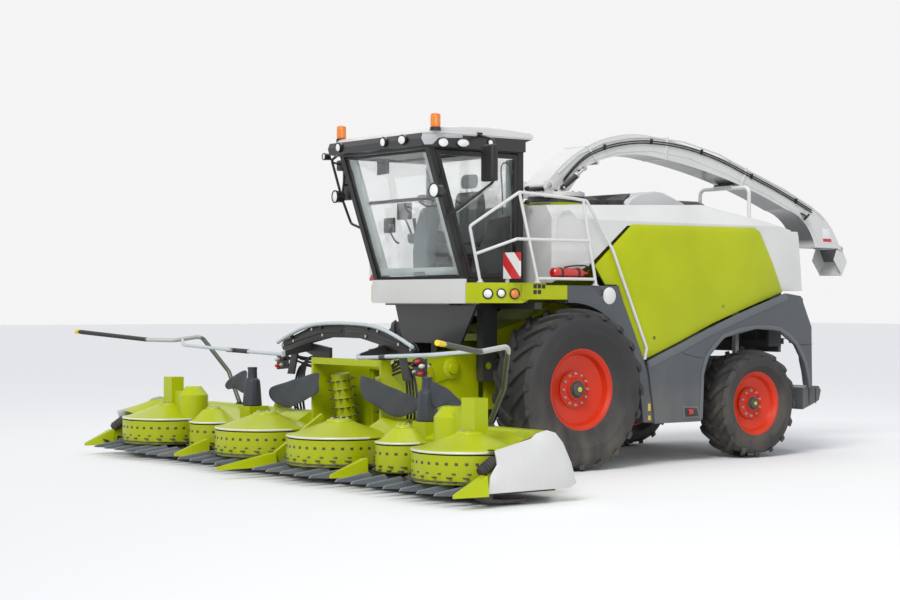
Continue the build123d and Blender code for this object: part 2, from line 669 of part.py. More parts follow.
with BuildPart() as mirrors:
    block((-roof_half - 12, -roof_half), (-1650, -1600), (3495, 3545))
    tube([(-895, -1625, 3520), (-1100, -1605, 3455), (-1100, -1470, 3040), (-1100, -1335, 2735),
          (-856, -1330, 2665)], 15, 45)
    block((-862, -cab_half), (-1365, -1295), (2635, 2695))
    bar((-1100, -1590, 3430), (-1100, -1440, 3400), 12)
    block((-1165, -1045), (-1495, -1395), (3345, 3455))
    bar((-1100, -1420, 3360), (-1100, -1462, 3040), 12)
    bar((-1100, -1438, 3180), (-1100, -1375, 3180), 12)
    block((-1195, -1010), (-1390, -1355), (3010, 3345))
    bar((-1100, -1550, 3040), (-1100, -1462, 3040), 66)
    bar((-1100, -1700, 3490), (-1100, -1640, 3490), 38)
    bar((-1100, -1645, 3490), (-1100, -1600, 3450), 12)
    block((cab_half, 874), (-1455, -1395), (2710, 2770))
    tube([(860, -1425, 2740), (1200, -1060, 3110), (1200, -1050, 3560), (896, -1010, 3630)], 14, 60)
    block((roof_half, roof_half + 12), (-1045, -975), (3600, 3660))
    block((1105, 1295), (-1150, -1075), (3120, 3500))
    block((1186, 1214), (-1080, -1040), (3160, 3460))
save("mirrors", mirrors.part)

# Spout: turning ring with the clevis, bent channel, end flap and the lift cylinder beside it
cylinder_direction = Vector(0, lift_head[0] - lift_foot[0], lift_head[1] - lift_foot[1]).normalized()
cylinder_length = (Vector(0, *lift_head) - Vector(0, *lift_foot)).length
barrel_length = 265
barrel_radius = 32
rod_radius = 16


def on_cylinder(distance):
    """Point on the lift cylinder's centre line, measured from its foot pin."""
    return tuple(Vector(lift_x, *lift_foot) + cylinder_direction * distance)


with BuildPart() as turret:
    with Locations((0, turret_y, turret_base_z + running_gap)):
        Cylinder(turret_radius, turret_height, align=(Align.CENTER, Align.CENTER, Align.MIN))
        Cylinder(turret_radius - 80, turret_height, align=(Align.CENTER, Align.CENTER, Align.MIN),
                 mode=Mode.SUBTRACT)
    for side in (1, -1):
        side_plate([(spout_hinge[0] - 45, turret_base_z + 60), (spout_hinge[0] + 130, turret_base_z + 60),
                    (spout_hinge[0] + 40, spout_hinge[1] + 45), (spout_hinge[0] - 40, spout_hinge[1] + 45)],
                   sorted((side * (spout_half + 6), side * (spout_half + 30))))
        with Locations(Location((side * (spout_half + 18), spout_hinge[0], spout_hinge[1]), (0, 90, 0))):
            Cylinder(spout_hinge_radius + running_gap, 60, mode=Mode.SUBTRACT)
    ring_top = turret_base_z + running_gap + turret_height
    side_plate([(lift_foot[0] - 40, ring_top - 10), (lift_foot[0] + 50, ring_top - 10),
                (lift_foot[0] + 24, lift_foot[1] + 24), (lift_foot[0] - 24, lift_foot[1] + 24)],
               (lift_x - 54, lift_x - 42))
    bar((lift_x - 45, *lift_foot), (lift_x + 24, *lift_foot), lift_pin_radius)
save("spout_turret", turret.part)

with BuildPart() as barrel:
    bar((lift_x - 20, *lift_foot), (lift_x + 20, *lift_foot), 28)
    bar(on_cylinder(18), on_cylinder(barrel_length), barrel_radius)
    bar(on_cylinder(60), on_cylinder(barrel_length + 1), rod_radius + running_gap, Mode.SUBTRACT)
    bar((lift_x - 50, *lift_foot), (lift_x + 50, *lift_foot), lift_pin_radius + running_gap, Mode.SUBTRACT)
save("spout_lift_barrel", barrel.part)

with BuildPart() as rod:
    bar(on_cylinder(80), on_cylinder(cylinder_length - 10), rod_radius)
    bar((lift_x - 18, *lift_head), (lift_x + 18, *lift_head), 26)
save("spout_lift_rod", rod.part)


def spout_channel(wall, x, ends, mode):
    """Bent channel of the spout, its outline moved inwards by a wall."""
    with BuildSketch(Plane.YZ.offset(-x)) as outline:
        with BuildLine():
            ThreePointArc((500, 3200 - wall), (1111, 3664 - wall), (2154, 3853 - wall))
            ThreePointArc((2154, 3853 - wall), (3881, 3504 - wall), (5151 - wall, 3020 - wall))
            ThreePointArc((5151 - wall, 3020 - wall), (5440 - wall, 2760), (5560 - wall, 2560 - ends))
            Line((5560 - wall, 2560 - ends), (5080 + wall, 2560 - ends))
            ThreePointArc((5080 + wall, 2560 - ends), (4880, 2870 + wall), (4526, 3040 + wall))
            ThreePointArc((4526, 3040 + wall), (3524, 3361 + wall), (2154, 3609 + wall))
            ThreePointArc((2154, 3609 + wall), (1458, 3551 + wall), (1112 - wall, 3430 + wall))
            Line((1112 - wall, 3430 + wall), (860 - wall, 3140 - ends))
            Line((860 - wall, 3140 - ends), (500, 3140 - ends))
            Line((500, 3140 - ends), (500, 3200 - wall))
        make_face()
    extrude(outline.sketch, amount=2 * x, mode=mode)


with BuildPart() as spout:
    spout_channel(0, spout_half, 0, Mode.ADD)
    spout_channel(spout_wall, spout_half - spout_wall, 1, Mode.SUBTRACT)
    with Locations(Location((0, spout_hinge[0], spout_hinge[1]), (0, 90, 0))):
        Cylinder(spout_hinge_radius, 2 * spout_half + 50)
    bar((spout_half - 1, *lift_head), (lift_x - 28, *lift_head), 30)
    for side in (1, -1):
        side_plate([(5470, 2600), (5540, 2600), (5602, 2575), (5602, 2530), (5560, 2530), (5470, 2562)],
                   sorted((side * spout_half, side * (spout_half + 12))))
    bar((-spout_half - 20, *flap_hinge), (spout_half + 20, *flap_hinge), 10 + running_gap, Mode.SUBTRACT)
    for y in spout_joints:
        block((-250, 250), (y - seam_gap / 2, y + seam_gap / 2), (2400, 3950), Mode.SUBTRACT)
save("spout", spout.part)

with BuildPart() as flap:
    side_plate([(5572, 2548), (5602, 2548), (5700, 2384), (5600, 2200), (5575, 2210), (5665, 2384)],
               (-spout_half, spout_half))
    for side in (1, -1):
        side_plate([(5574, 2548), (5700, 2384), (5600, 2200), (5440, 2400), (5500, 2540)],
                   sorted((side * (spout_half - 8), side * spout_half)))
    bar((-spout_half - 12, *flap_hinge), (spout_half + 12, *flap_hinge), 10)
save("spout_flap", flap.part)

# Header. The feeder housing hangs at the chopper's axis and carries the header frame
feeder_rear_y = header_pivot[0] - 30
with BuildPart() as feeder:
    side_plate([(feeder_rear_y, 760), (feeder_rear_y, 1290), (-1500, mouth_top), (mouth_rear_y, mouth_top),
                (mouth_rear_y, 380), (-1350, 380)], (-feeder_half, feeder_half))
    side_plate([(feeder_rear_y + 1, 850), (feeder_rear_y + 1, 1210), (-1500, 1075),
                (mouth_rear_y - 1, 1075), (mouth_rear_y - 1, 440), (-1350, 450)],
               (-feeder_half + 40, feeder_half - 40), Mode.SUBTRACT)
    for side in (1, -1):
        side_plate([(-650, 1080), (-650, 1180), (-520, 1180), (-520, 1080)],
                   sorted((side * (feeder_half - 30), side * feeder_half)))
        bar((side * (feeder_half - 10), *header_pivot), (side * (rail_x + 50), *header_pivot), pivot_radius)
save("feeder_housing", feeder.part)


def disc_ring(count, radius, tooth):
    """Toothed outline of a rotor ring."""
    points = []
    for index in range(count):
        start = 2 * pi * index / count
        for share, reach in ((0, radius - tooth), (0.55, radius), (0.75, radius - tooth)):
            angle = start + 2 * pi * share / count
            points.append((reach * cos(angle), reach * sin(angle)))
    return points


def rotor(radius, count):
    """Drum with two toothed rings, standing on its own axis."""
    with BuildPart() as drum:
        with Locations((0, 0, lower_ring_z - 20)):
            Cylinder(radius - 70, rotor_height, align=(Align.CENTER, Align.CENTER, Align.MIN))
        for z, reach, tooth in ((lower_ring_z, radius, 48), (upper_ring_z, radius - 45, 24)):
            plate(Plane.XY.offset(z), disc_ring(count, reach, tooth), ring_thickness)
        with Locations((0, 0, lower_ring_z - 21)):
            Cylinder(disc_shaft_radius + running_gap, rotor_height + 5,
                     align=(Align.CENTER, Align.CENTER, Align.MIN), mode=Mode.SUBTRACT)
    return drum.part


large_rotor = rotor(large_disc_radius, 24)
small_rotor = rotor(small_disc_radius, 14)
for name, part, x in (("rotor_centre", large_rotor, centre_disc_x), ("rotor_small", small_rotor,
                                                                     small_disc_x),
                      ("rotor_outer", large_rotor, outer_disc_x)):
    save_pair(name, part.moved(Location((x, disc_axis_y, 0))))


def dome(x, radius):
    """Cover over a rotor: flat-topped cone with a rolled rim, on its fixed shaft."""
    with BuildSketch(Plane(origin=(x, disc_axis_y, 0), x_dir=(0, 0, 1), z_dir=(0, -1, 0))) as half:
        with BuildLine():
            Polyline((dome_rim_z, 0), (dome_rim_z, radius), (dome_rim_z + dome_thickness, radius),
                     (dome_top_z, radius * 0.45), (dome_top_z, 0), close=True)
        make_face()
    revolve(half.sketch, axis=Axis((x, disc_axis_y, 0), (0, 0, 1)))
    bar((x, disc_axis_y, pan_bottom), (x, disc_axis_y, dome_rim_z + 5), disc_shaft_radius)


def nose(x, tip, base_y, half_width, base_top, base_bottom):
    """Pointed crop divider from its tip back to a base section."""
    with BuildSketch(Plane.XZ.offset(-base_y)) as base:
        with BuildLine():
            Polyline((x - half_width, base_bottom), (x + half_width, base_bottom),
                     (x + half_width * 0.7, base_top), (x - half_width * 0.7, base_top), close=True)
        make_face()
    with BuildSketch(Plane.XZ.offset(-tip[0])) as point:
        with BuildLine():
            Polyline((x - 14, tip[1] - 18), (x + 14, tip[1] - 18), (x + 9, tip[1] + 14),
                     (x - 9, tip[1] + 14), close=True)
        make_face()
    loft(sections=[base.sketch, point.sketch])


beam_section = [(beam_rear_y, beam_bottom), (beam_rear_y, beam_top), (beam_front_y + 60, beam_top),
                (beam_front_y, beam_top - 60), (beam_front_y, beam_bottom)]
pan_top = pan_bottom + pan_thickness
stand_y = beam_front_y + 60
drum_lean = 10
drum_foot = (430, -1800, 330)
drum_length = 720
drum_axis = Vector(0, -sin(drum_lean * pi / 180), cos(drum_lean * pi / 180))
fold_slots = ((stand_y + 2, stand_y + 22), (beam_rear_y - 22, beam_rear_y - 2))


def fold_lug(side):
    """Outline (x, z) of a fold hinge lug that reaches over the gap from one side."""
    return [(fold_x + side * 130, beam_top - 1), (fold_x + side * 8, beam_top - 1),
            (fold_x - side * 42, fold_z - 22), (fold_x - side * 42, fold_z + 26),
            (fold_x - side * 16, fold_z + 46), (fold_x + side * 28, fold_z + 46)]


with BuildPart() as header_centre:
    inner = fold_x - fold_gap / 2
    for side in (1, -1):
        side_plate(beam_section, sorted((side * mouth_half, side * inner)))
        side_plate([(stand_y, pan_bottom), (stand_y, beam_bottom), (beam_front_y, beam_bottom),
                    (beam_front_y, mouth_top), (mouth_rear_y, mouth_top), (mouth_rear_y, 330),
                    (-1900, pan_bottom)], sorted((side * mouth_half, side * (mouth_half + 40))))
        block(sorted((side * feeder_half, side * (mouth_half + 40))), (mouth_rear_y - 30, mouth_rear_y),
              (330, mouth_top))
        foot = Vector(side * drum_foot[0], drum_foot[1], drum_foot[2])
        bar(tuple(foot - drum_axis * 60), tuple(foot + drum_axis * 75), 45)
        for x in (760, 1200):
            block(sorted((side * (x - 30), side * (x + 30))), (stand_y, beam_rear_y),
                  (pan_top, beam_bottom))
    side_plate([(stand_y, pan_bottom), (stand_y, pan_top), (mouth_rear_y, 370), (mouth_rear_y, 330),
                (-1960, pan_bottom)], (-mouth_half - 1, mouth_half + 1))
    block((-mouth_half - 40, mouth_half + 40), (beam_front_y, -2020), (mouth_top, mouth_top + 70))
    block((-mouth_half - 40, mouth_half + 40), (mouth_rear_y - 30, mouth_rear_y),
          (mouth_top - 60, mouth_top))
    top_plate([(-inner, beam_rear_y), (inner, beam_rear_y), (inner, -2950), (900, -3040), (-900, -3040),
               (-inner, -2950)], (pan_bottom, pan_top))
    for side in (1, -1):
        dome(side * centre_disc_x, large_disc_radius - 65)
        side_plate([(beam_front_y, 500), (beam_front_y, 620), (-2420, 470), (-2420, 430)],
                   sorted((side * 690, side * 1180)))
        for x in (690, 1150):
            side_plate([(beam_front_y, 420), (beam_front_y, 500), (-2420, 440), (-2420, 400)],
                       sorted((side * x, side * (x + 30))))
        for y in fold_slots:
            front_plate([(side * x, z) for x, z in fold_lug(-1)], y)
        bar((side * fold_x, fold_slots[0][0], fold_z), (side * fold_x, fold_slots[1][1], fold_z),
            fold_pin_radius)
    nose(0, (-3730, 118), -3040, 70, 250, pan_bottom)
    side_plate([(-3040, pan_bottom), (-3040, 250), (-2450, 640), (-2420, 600), (-2700, 300),
                (-2700, pan_bottom)], (-22, 22))
save("header_centre", header_centre.part)


def fingers(spans):
    """Rows of broad pointed fingers before the pan, each with a foot on a carrier bar below it."""
    for x0, x1, count, y in spans:
        step = (x1 - x0) / count
        for index in range(count):
            x = x0 + (index + 0.5) * step
            with BuildSketch(Plane.XZ.offset(-y)) as root:
                with Locations((x, 124)):
                    Trapezoid(96, 84, 72)
            with BuildSketch(Plane.XZ.offset(-finger_tip[0])) as point:
                with Locations((x, finger_tip[1])):
                    Rectangle(20, 18)
            loft(sections=[root.sketch, point.sketch])
            block((x - 34, x + 34), (y - 20, y + 110), (82, pan_bottom - running_gap))
        block((x0, x1), (y + 60, y + 110), (70, pan_bottom - running_gap))


with BuildPart() as centre_fingers:
    fingers([(-1470, -120, 5, -3046), (120, 1470, 5, -3046)])
save("centre_fingers", centre_fingers.part)

# Slanted feed drums in the mouth's pockets, with rings of knives
with BuildPart() as drum:
    with BuildSketch() as section:
        Circle(105)
    extrude(section.sketch, amount=drum_length)
    for index in range(7):
        plate(Plane.XY.offset(50 + index * 100), disc_ring(10, 160, 50), 10)
    with Locations((0, 0, -1)):
        Cylinder(45 + running_gap, 80, align=(Align.CENTER, Align.CENTER, Align.MIN), mode=Mode.SUBTRACT)
save_pair("feed_drum", drum.part.moved(Location(drum_foot, (drum_lean, 0, 0))))

# Crop press over the centre: linkage plates on the mouth's top beam and the curved tubes
with BuildPart() as press_centre:
    for side in (1, -1):
        front_plate([(side * 380, mouth_top + 70), (side * 660, mouth_top + 70), (side * 1080, 1340),
                     (side * 1080, 1405), (side * 640, 1360), (side * 380, 1330)], (-2100, -2060))
        side_plate([(-2060, 1290), (-2060, 1350), (-2120, 1390), (-2490, 1285), (-2490, 1230),
                    (-2120, 1290)], sorted((side * 720, side * 750)))
        tube([(side * 735, -2474, 1255), (side * 1100, -2550, 1268), (side * (fold_x - 30), -2612, 1283)],
             20, 300)
save("crop_press_centre", press_centre.part)

# Wings
outer = header_half
start = fold_x + fold_gap / 2
with BuildPart() as wing:
    side_plate(beam_section, (start, wing_beam_end))
    top_plate([(start, beam_rear_y), (wing_beam_end + 50, beam_rear_y), (3640, -2300), (3640, -2950),
               (3400, -3040), (1900, -3040), (start, -2950)], (pan_bottom, pan_top))
    for x in (1620, 2400, 3100):
        block((x - 30, x + 30), (stand_y, beam_rear_y), (pan_top, beam_bottom))
    dome(small_disc_x, small_disc_radius - 45)
    dome(outer_disc_x, large_disc_radius - 65)
    block((outer_disc_x - 100, outer_disc_x + 100), (-2720, -2560), (dome_top_z - 40, 940))
    with Locations((2520, -2600, dome_rim_z + 8)):
        Cylinder(170, 370, align=(Align.CENTER, Align.CENTER, Align.MIN))
    with Locations((2520, -2600, dome_rim_z + 378)):
        Cone(170, 90, 100, align=(Align.CENTER, Align.CENTER, Align.MIN))
    block((2600, outer_disc_x), (-2680, -2560), (560, 780))
    block((1590, 1810), (-2390, beam_front_y + 1), (460, 640))
    for x in (1620, 2300, 3100):
        side_plate([(beam_front_y, 460), (beam_front_y, 560), (-2420, 460), (-2420, 400)], (x, x + 30))
    side_plate([(beam_front_y + 40, 550), (beam_front_y + 40, 596), (-2420, 480), (-2420, 450)],
               (1600, 3150))
    nose(start + 66, (-3360, 140), -2950, 62, 300, pan_bottom)
    nose(3667, (-3437, 126), -3096, 74, 292, pan_bottom)
    side_plate([(-3096, pan_bottom), (-3096, 290), (-2600, 400), (-2250, 400), (-2250, pan_bottom)],
               (3600, 3640))
    front_plate(fold_lug(1), (fold_slots[0][1] + panel_gap, fold_slots[1][0] - panel_gap))
    bar((fold_x, fold_slots[0][0], fold_z), (fold_x, fold_slots[1][1], fold_z),
        fold_pin_radius + running_gap, Mode.SUBTRACT)
save_pair("wing", wing.part)

with BuildPart() as wing_fingers:
    fingers([(1670, 3530, 7, -3046)])
    side_plate([(-3250, 190), (-3180, 105), (-3020, 40), (-2810, 22), (-2560, 22), (-2560, 50), (-2810, 52),
                (-2940, 66), (-2940, pan_bottom - running_gap), (-3100, pan_bottom - running_gap),
                (-3200, 175)], (3540, 3590))
save_pair("wing_fingers", wing_fingers.part)

with BuildPart() as shield:
    outline = [(-3090, 196), (-3090, 262), (-2990, 400), (-3003, 509), (-2594, 605), (-2534, 649),
               (-2414, 673), (-2309, 645), (-2217, 554), (-2109, 363), (-2086, 221), (-2170, 185)]
    side_plate(outline, (3640 + running_gap, 3665))
    with BuildSketch(Plane.YZ.offset(3665)) as inner_face:
        with BuildLine():
            Polyline(*outline, close=True)
        make_face()
    with BuildSketch(Plane.YZ.offset(outer)) as outer_face:
        with BuildLine():
            Polyline(*[(-2590 + (y + 2590) * 0.84, 410 + (z - 410) * 0.8) for y, z in outline], close=True)
        make_face()
    loft(sections=[inner_face.sketch, outer_face.sketch], ruled=True)
save_pair("wing_side_shield", shield.part)

with BuildPart() as press_arm:
    tube([(2400, -2050, beam_top + 19), (2640, -2060, 1000), (2960, -2256, 1416), (2990, -2606, 1371),
          (3256, -2828, 1377), (3626, -3589, 1477)], 26, 90)
    block((2360, 2440), (stand_y, -2010), (beam_top, beam_top + 20))
    tube([(2980, -2500, 1385), (2441, -2786, 1329), (fold_x + 30, -2672, 1290)], 20, 200)
save_pair("crop_press_arm", press_arm.part)

with BuildPart() as boots:
    with Locations((1700, -2290, 640)):
        Cone(98, 80, 300, align=(Align.CENTER, Align.CENTER, Align.MIN))
    with Locations((1700, -2290, 940)):
        Cylinder(50, 140, align=(Align.CENTER, Align.CENTER, Align.MIN))
save_pair("drive_boot", boots.part)
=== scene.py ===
# Looks of a forage harvester with its folding maize header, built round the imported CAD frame.
from math import cos, pi, radians, sin

import bpy
from mathutils import Matrix, Vector


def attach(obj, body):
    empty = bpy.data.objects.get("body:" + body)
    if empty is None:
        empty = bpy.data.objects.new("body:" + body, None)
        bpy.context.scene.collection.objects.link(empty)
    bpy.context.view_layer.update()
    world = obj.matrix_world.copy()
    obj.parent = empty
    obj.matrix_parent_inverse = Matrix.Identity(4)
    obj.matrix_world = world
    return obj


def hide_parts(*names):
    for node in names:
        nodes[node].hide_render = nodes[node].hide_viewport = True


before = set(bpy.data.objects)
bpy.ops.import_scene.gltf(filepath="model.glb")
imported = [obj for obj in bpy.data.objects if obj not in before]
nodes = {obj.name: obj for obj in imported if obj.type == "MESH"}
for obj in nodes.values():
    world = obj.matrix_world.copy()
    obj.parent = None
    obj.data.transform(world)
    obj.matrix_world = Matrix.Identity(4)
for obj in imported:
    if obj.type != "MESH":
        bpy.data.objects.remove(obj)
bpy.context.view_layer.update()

# Camera, light and floor
# The machine stands parked on a plain pale floor under soft light from above and the front.
# Every place below is given from the front axle's centre, which lies at axle_y in the frame.
axle_y = -0.985
scene = bpy.context.scene
scene.view_settings.view_transform = "Standard"


def spot(x, y, z):
    """A place given from the front axle, in the frame."""
    return Vector((x, y + axle_y, z))


camera_data = bpy.data.cameras.new("camera")
sensor_width, frame_width, focal_length = 36, 900, 1837.94
camera_data.sensor_width = sensor_width
camera_data.lens = sensor_width * focal_length / frame_width
camera_data.clip_end = 200
camera = bpy.data.objects.new("camera", camera_data)
scene.collection.objects.link(camera)
eye = spot(16.5436, -13.1217, 1.8249)
heading, pitch, roll = radians(53.173), radians(90.0916), radians(0.1397)
camera.matrix_world = (Matrix.Translation(eye) @ Matrix.Rotation(heading, 4, "Z")
                       @ Matrix.Rotation(pitch, 4, "X") @ Matrix.Rotation(roll, 4, "Z"))
scene.camera = camera


def backdrop_mask(tree):
    """1 for what the camera, gloss and glass see, which is the plain backdrop, and 0 for other light."""
    rays = tree.nodes.new("ShaderNodeLightPath")
    seen = tree.nodes.new("ShaderNodeMath")
    seen.operation = "MAXIMUM"
    tree.links.new(rays.outputs["Is Camera Ray"], seen.inputs[0])
    tree.links.new(rays.outputs["Is Transmission Ray"], seen.inputs[1])
    mirrored = tree.nodes.new("ShaderNodeMath")
    mirrored.operation = "MAXIMUM"
    tree.links.new(seen.outputs[0], mirrored.inputs[0])
    tree.links.new(rays.outputs["Is Glossy Ray"], mirrored.inputs[1])
    return mirrored


world = bpy.data.worlds.new("studio")
scene.world = world
world.use_nodes = True
tree = world.node_tree
lit = tree.nodes["Background"]
lit.inputs["Color"].default_value = (0.86, 0.89, 0.95, 1)
lit.inputs["Strength"].default_value = 0.50
shown = tree.nodes.new("ShaderNodeBackground")
shown.inputs["Color"].default_value = (0.91, 0.91, 0.91, 1)
choose = tree.nodes.new("ShaderNodeMixShader")
mask = backdrop_mask(tree)
tree.links.new(mask.outputs[0], choose.inputs["Fac"])
tree.links.new(lit.outputs[0], choose.inputs[1])
tree.links.new(shown.outputs[0], choose.inputs[2])
tree.links.new(choose.outputs[0], tree.nodes["World Output"].inputs["Surface"])


def add_lamp(name, kind, place, aim, energy, size):
    """A lamp at a place, turned to its aim."""
    data = bpy.data.lights.new(name, kind)
    data.energy = energy
    if kind == "AREA":
        data.size = size
    else:
        data.angle = size
    lamp = bpy.data.objects.new(name, data)
    scene.collection.objects.link(lamp)
    lamp.location = place
    lamp.rotation_euler = (Vector(aim) - Vector(place)).to_track_quat("-Z", "Y").to_euler()


add_lamp("key", "SUN", (8, -14, 16), (0, 0, 1), 1.85, radians(24))
add_lamp("front_fill", "AREA", (13, -7, 6), (0, 0, 1.5), 300, 7)
add_lamp("top_fill", "AREA", (-1, 1, 12), (0, 0, 0), 330, 9)

bpy.ops.object.select_all(action="DESELECT")
bpy.ops.mesh.primitive_grid_add(x_subdivisions=12, y_subdivisions=12, size=240, location=(0, 0, -0.002))
floor = bpy.context.object
floor.name = "floor"
floor_material = bpy.data.materials.new("pale_floor")
floor_material.use_nodes = True
surface = floor_material.node_tree.nodes["Principled BSDF"]
surface.inputs["Base Color"].default_value = (0.90, 0.90, 0.90, 1)
surface.inputs["Roughness"].default_value = 0.9
floor.data.materials.append(floor_material)

# Tyres, rims and axles
# Steel-belted radial tyres of black rubber with deep slanted lugs, on orange-red painted steel rims.
# Each rim is bolted to its planetary hub with a ring of zinc-plated nuts round a dark cap with a yellow
# plug. The portal axle, the rear beam and the steering knuckles are cast and painted dark grey.
both_sides = (("left", 1), ("right", -1))


def add_node(tree, kind, **settings):
    """Adds a shader node and sets its plain properties."""
    node = tree.nodes.new(kind)
    for name, value in settings.items():
        setattr(node, name, value)
    return node


def group_socket(group, name, kind, direction, value=None):
    """Adds a named socket to a node group."""
    socket = group.interface.new_socket(name, in_out=direction, socket_type=kind)
    if value is not None:
        socket.default_value = value


def noise(tree, place, scale, detail=4.0, stretch=None):
    """Noise over a place vector, with an optional stretch of its grain."""
    if stretch:
        mapping = add_node(tree, "ShaderNodeMapping")
        mapping.inputs["Scale"].default_value = stretch
        tree.links.new(place, mapping.inputs["Vector"])
        place = mapping.outputs["Vector"]
    texture = add_node(tree, "ShaderNodeTexNoise")
    texture.inputs["Scale"].default_value = scale
    texture.inputs["Detail"].default_value = detail
    tree.links.new(place, texture.inputs["Vector"])
    return texture.outputs["Fac"]


def reshape(tree, value, low, high, to_low=0.0, to_high=1.0):
    """Maps a value's range to another range and clamps it."""
    node = add_node(tree, "ShaderNodeMapRange")
    for name, number in (("From Min", low), ("From Max", high), ("To Min", to_low), ("To Max", to_high)):
        node.inputs[name].default_value = number
    tree.links.new(value, node.inputs["Value"])
    return node.outputs["Result"]


def feed(tree, socket, value):
    """Gives a socket its value: a number, a colour or another socket."""
    if isinstance(value, (int, float, tuple)):
        socket.default_value = value
    else:
        tree.links.new(value, socket)


def combine(tree, operation, first, second=0.0):
    """Joins two values, either of them a socket or a number."""
    node = add_node(tree, "ShaderNodeMath", operation=operation)
    feed(tree, node.inputs[0], first)
    feed(tree, node.inputs[1], second)
    return node.outputs[0]


def blend_colour(tree, amount, first, second):
    """Mixes two colours, each a socket or a colour value."""
    node = add_node(tree, "ShaderNodeMix", data_type="RGBA")
    feed(tree, node.inputs[0], amount)
    feed(tree, node.inputs[6], first)
    feed(tree, node.inputs[7], second)
    return node.outputs[2]


def axes(tree, vector):
    """The X, Y and Z of a vector, as sockets by name."""
    parts = add_node(tree, "ShaderNodeSeparateXYZ")
    tree.links.new(vector, parts.inputs[0])
    return parts.outputs


# Field use: a faint change of shade over the surface and dust that settles low down and on level faces
field_wear = bpy.data.node_groups.new("field_wear", "ShaderNodeTree")
group_socket(field_wear, "Paint", "NodeSocketColor", "INPUT", (0.5, 0.5, 0.5, 1))
group_socket(field_wear, "Dust", "NodeSocketFloat", "INPUT", 0.2)
group_socket(field_wear, "Roughness", "NodeSocketFloat", "INPUT", 0.4)
group_socket(field_wear, "Grain", "NodeSocketFloat", "INPUT", 90.0)
group_socket(field_wear, "Colour", "NodeSocketColor", "OUTPUT")
group_socket(field_wear, "Roughness", "NodeSocketFloat", "OUTPUT")
group_socket(field_wear, "Height", "NodeSocketFloat", "OUTPUT")
given = field_wear.nodes.new("NodeGroupInput")
result = field_wear.nodes.new("NodeGroupOutput")
place = add_node(field_wear, "ShaderNodeTexCoord").outputs["Object"]
facing = axes(field_wear, add_node(field_wear, "ShaderNodeNewGeometry").outputs["Normal"])
height = axes(field_wear, place)
cloudy = noise(field_wear, place, 1.7, 6)
streaky = noise(field_wear, place, 5.0, 5, (1, 1, 0.22))
low_down = reshape(field_wear, height["Z"], 1.5, 0.1)
level = reshape(field_wear, facing["Z"], 0.55, 1.0, 0.0, 0.8)
settled = combine(field_wear, "MAXIMUM", low_down, level)
patchy = reshape(field_wear, combine(field_wear, "MULTIPLY", cloudy, streaky), 0.16, 0.36)
dusty = combine(field_wear, "MULTIPLY", combine(field_wear, "MULTIPLY", settled, patchy),
                given.outputs["Dust"])
shade = reshape(field_wear, cloudy, 0.3, 0.7, 0.93, 1.05)
shaded = add_node(field_wear, "ShaderNodeVectorMath", operation="SCALE")
field_wear.links.new(given.outputs["Paint"], shaded.inputs[0])
field_wear.links.new(shade, shaded.inputs["Scale"])
soiled = blend_colour(field_wear, dusty, shaded.outputs[0], (0.30, 0.26, 0.20, 1))
field_wear.links.new(soiled, result.inputs["Colour"])
rough = combine(field_wear, "ADD", given.outputs["Roughness"], combine(field_wear, "MULTIPLY", dusty, 0.45))
rough = combine(field_wear, "ADD", rough, reshape(field_wear, streaky, 0.3, 0.7, -0.03, 0.05))
field_wear.links.new(rough, result.inputs["Roughness"])
fine = add_node(field_wear, "ShaderNodeTexNoise")
fine.inputs["Detail"].default_value = 3
field_wear.links.new(place, fine.inputs["Vector"])
field_wear.links.new(given.outputs["Grain"], fine.inputs["Scale"])
field_wear.links.new(fine.outputs["Fac"], result.inputs["Height"])


def worn_material(name, colour, roughness, dust=0.2, grain=90.0, depth=0.0004, metallic=0.0, coat=0.0,
                  paint=None, shine=0.5):
    """A finish with field wear. paint(tree, place) may give a pattern in place of the one colour."""
    material = bpy.data.materials.new(name)
    material.use_nodes = True
    material.diffuse_color = (*colour, 1)
    tree = material.node_tree
    surface = tree.nodes["Principled BSDF"]
    surface.inputs["Metallic"].default_value = metallic
    surface.inputs["Coat Weight"].default_value = coat
    surface.inputs["Specular IOR Level"].default_value = shine
    surface.inputs["Coat Roughness"].default_value = 0.12
    wear = add_node(tree, "ShaderNodeGroup")
    wear.node_tree = field_wear
    wear.inputs["Paint"].default_value = (*colour, 1)
    wear.inputs["Dust"].default_value = dust
    wear.inputs["Roughness"].default_value = roughness
    wear.inputs["Grain"].default_value = grain
    if paint:
        place = add_node(tree, "ShaderNodeTexCoord").outputs["Object"]
        tree.links.new(paint(tree, place), wear.inputs["Paint"])
    tree.links.new(wear.outputs["Colour"], surface.inputs["Base Color"])
    tree.links.new(wear.outputs["Roughness"], surface.inputs["Roughness"])
    bump = add_node(tree, "ShaderNodeBump")
    bump.inputs["Distance"].default_value = depth
    bump.inputs["Strength"].default_value = 0.6
    tree.links.new(wear.outputs["Height"], bump.inputs["Height"])
    tree.links.new(bump.outputs["Normal"], surface.inputs["Normal"])
    return material


def dress(node, material):
    """Gives a CAD node its finish."""
    slots = nodes[node].data.materials
    slots.clear()
    slots.append(material)


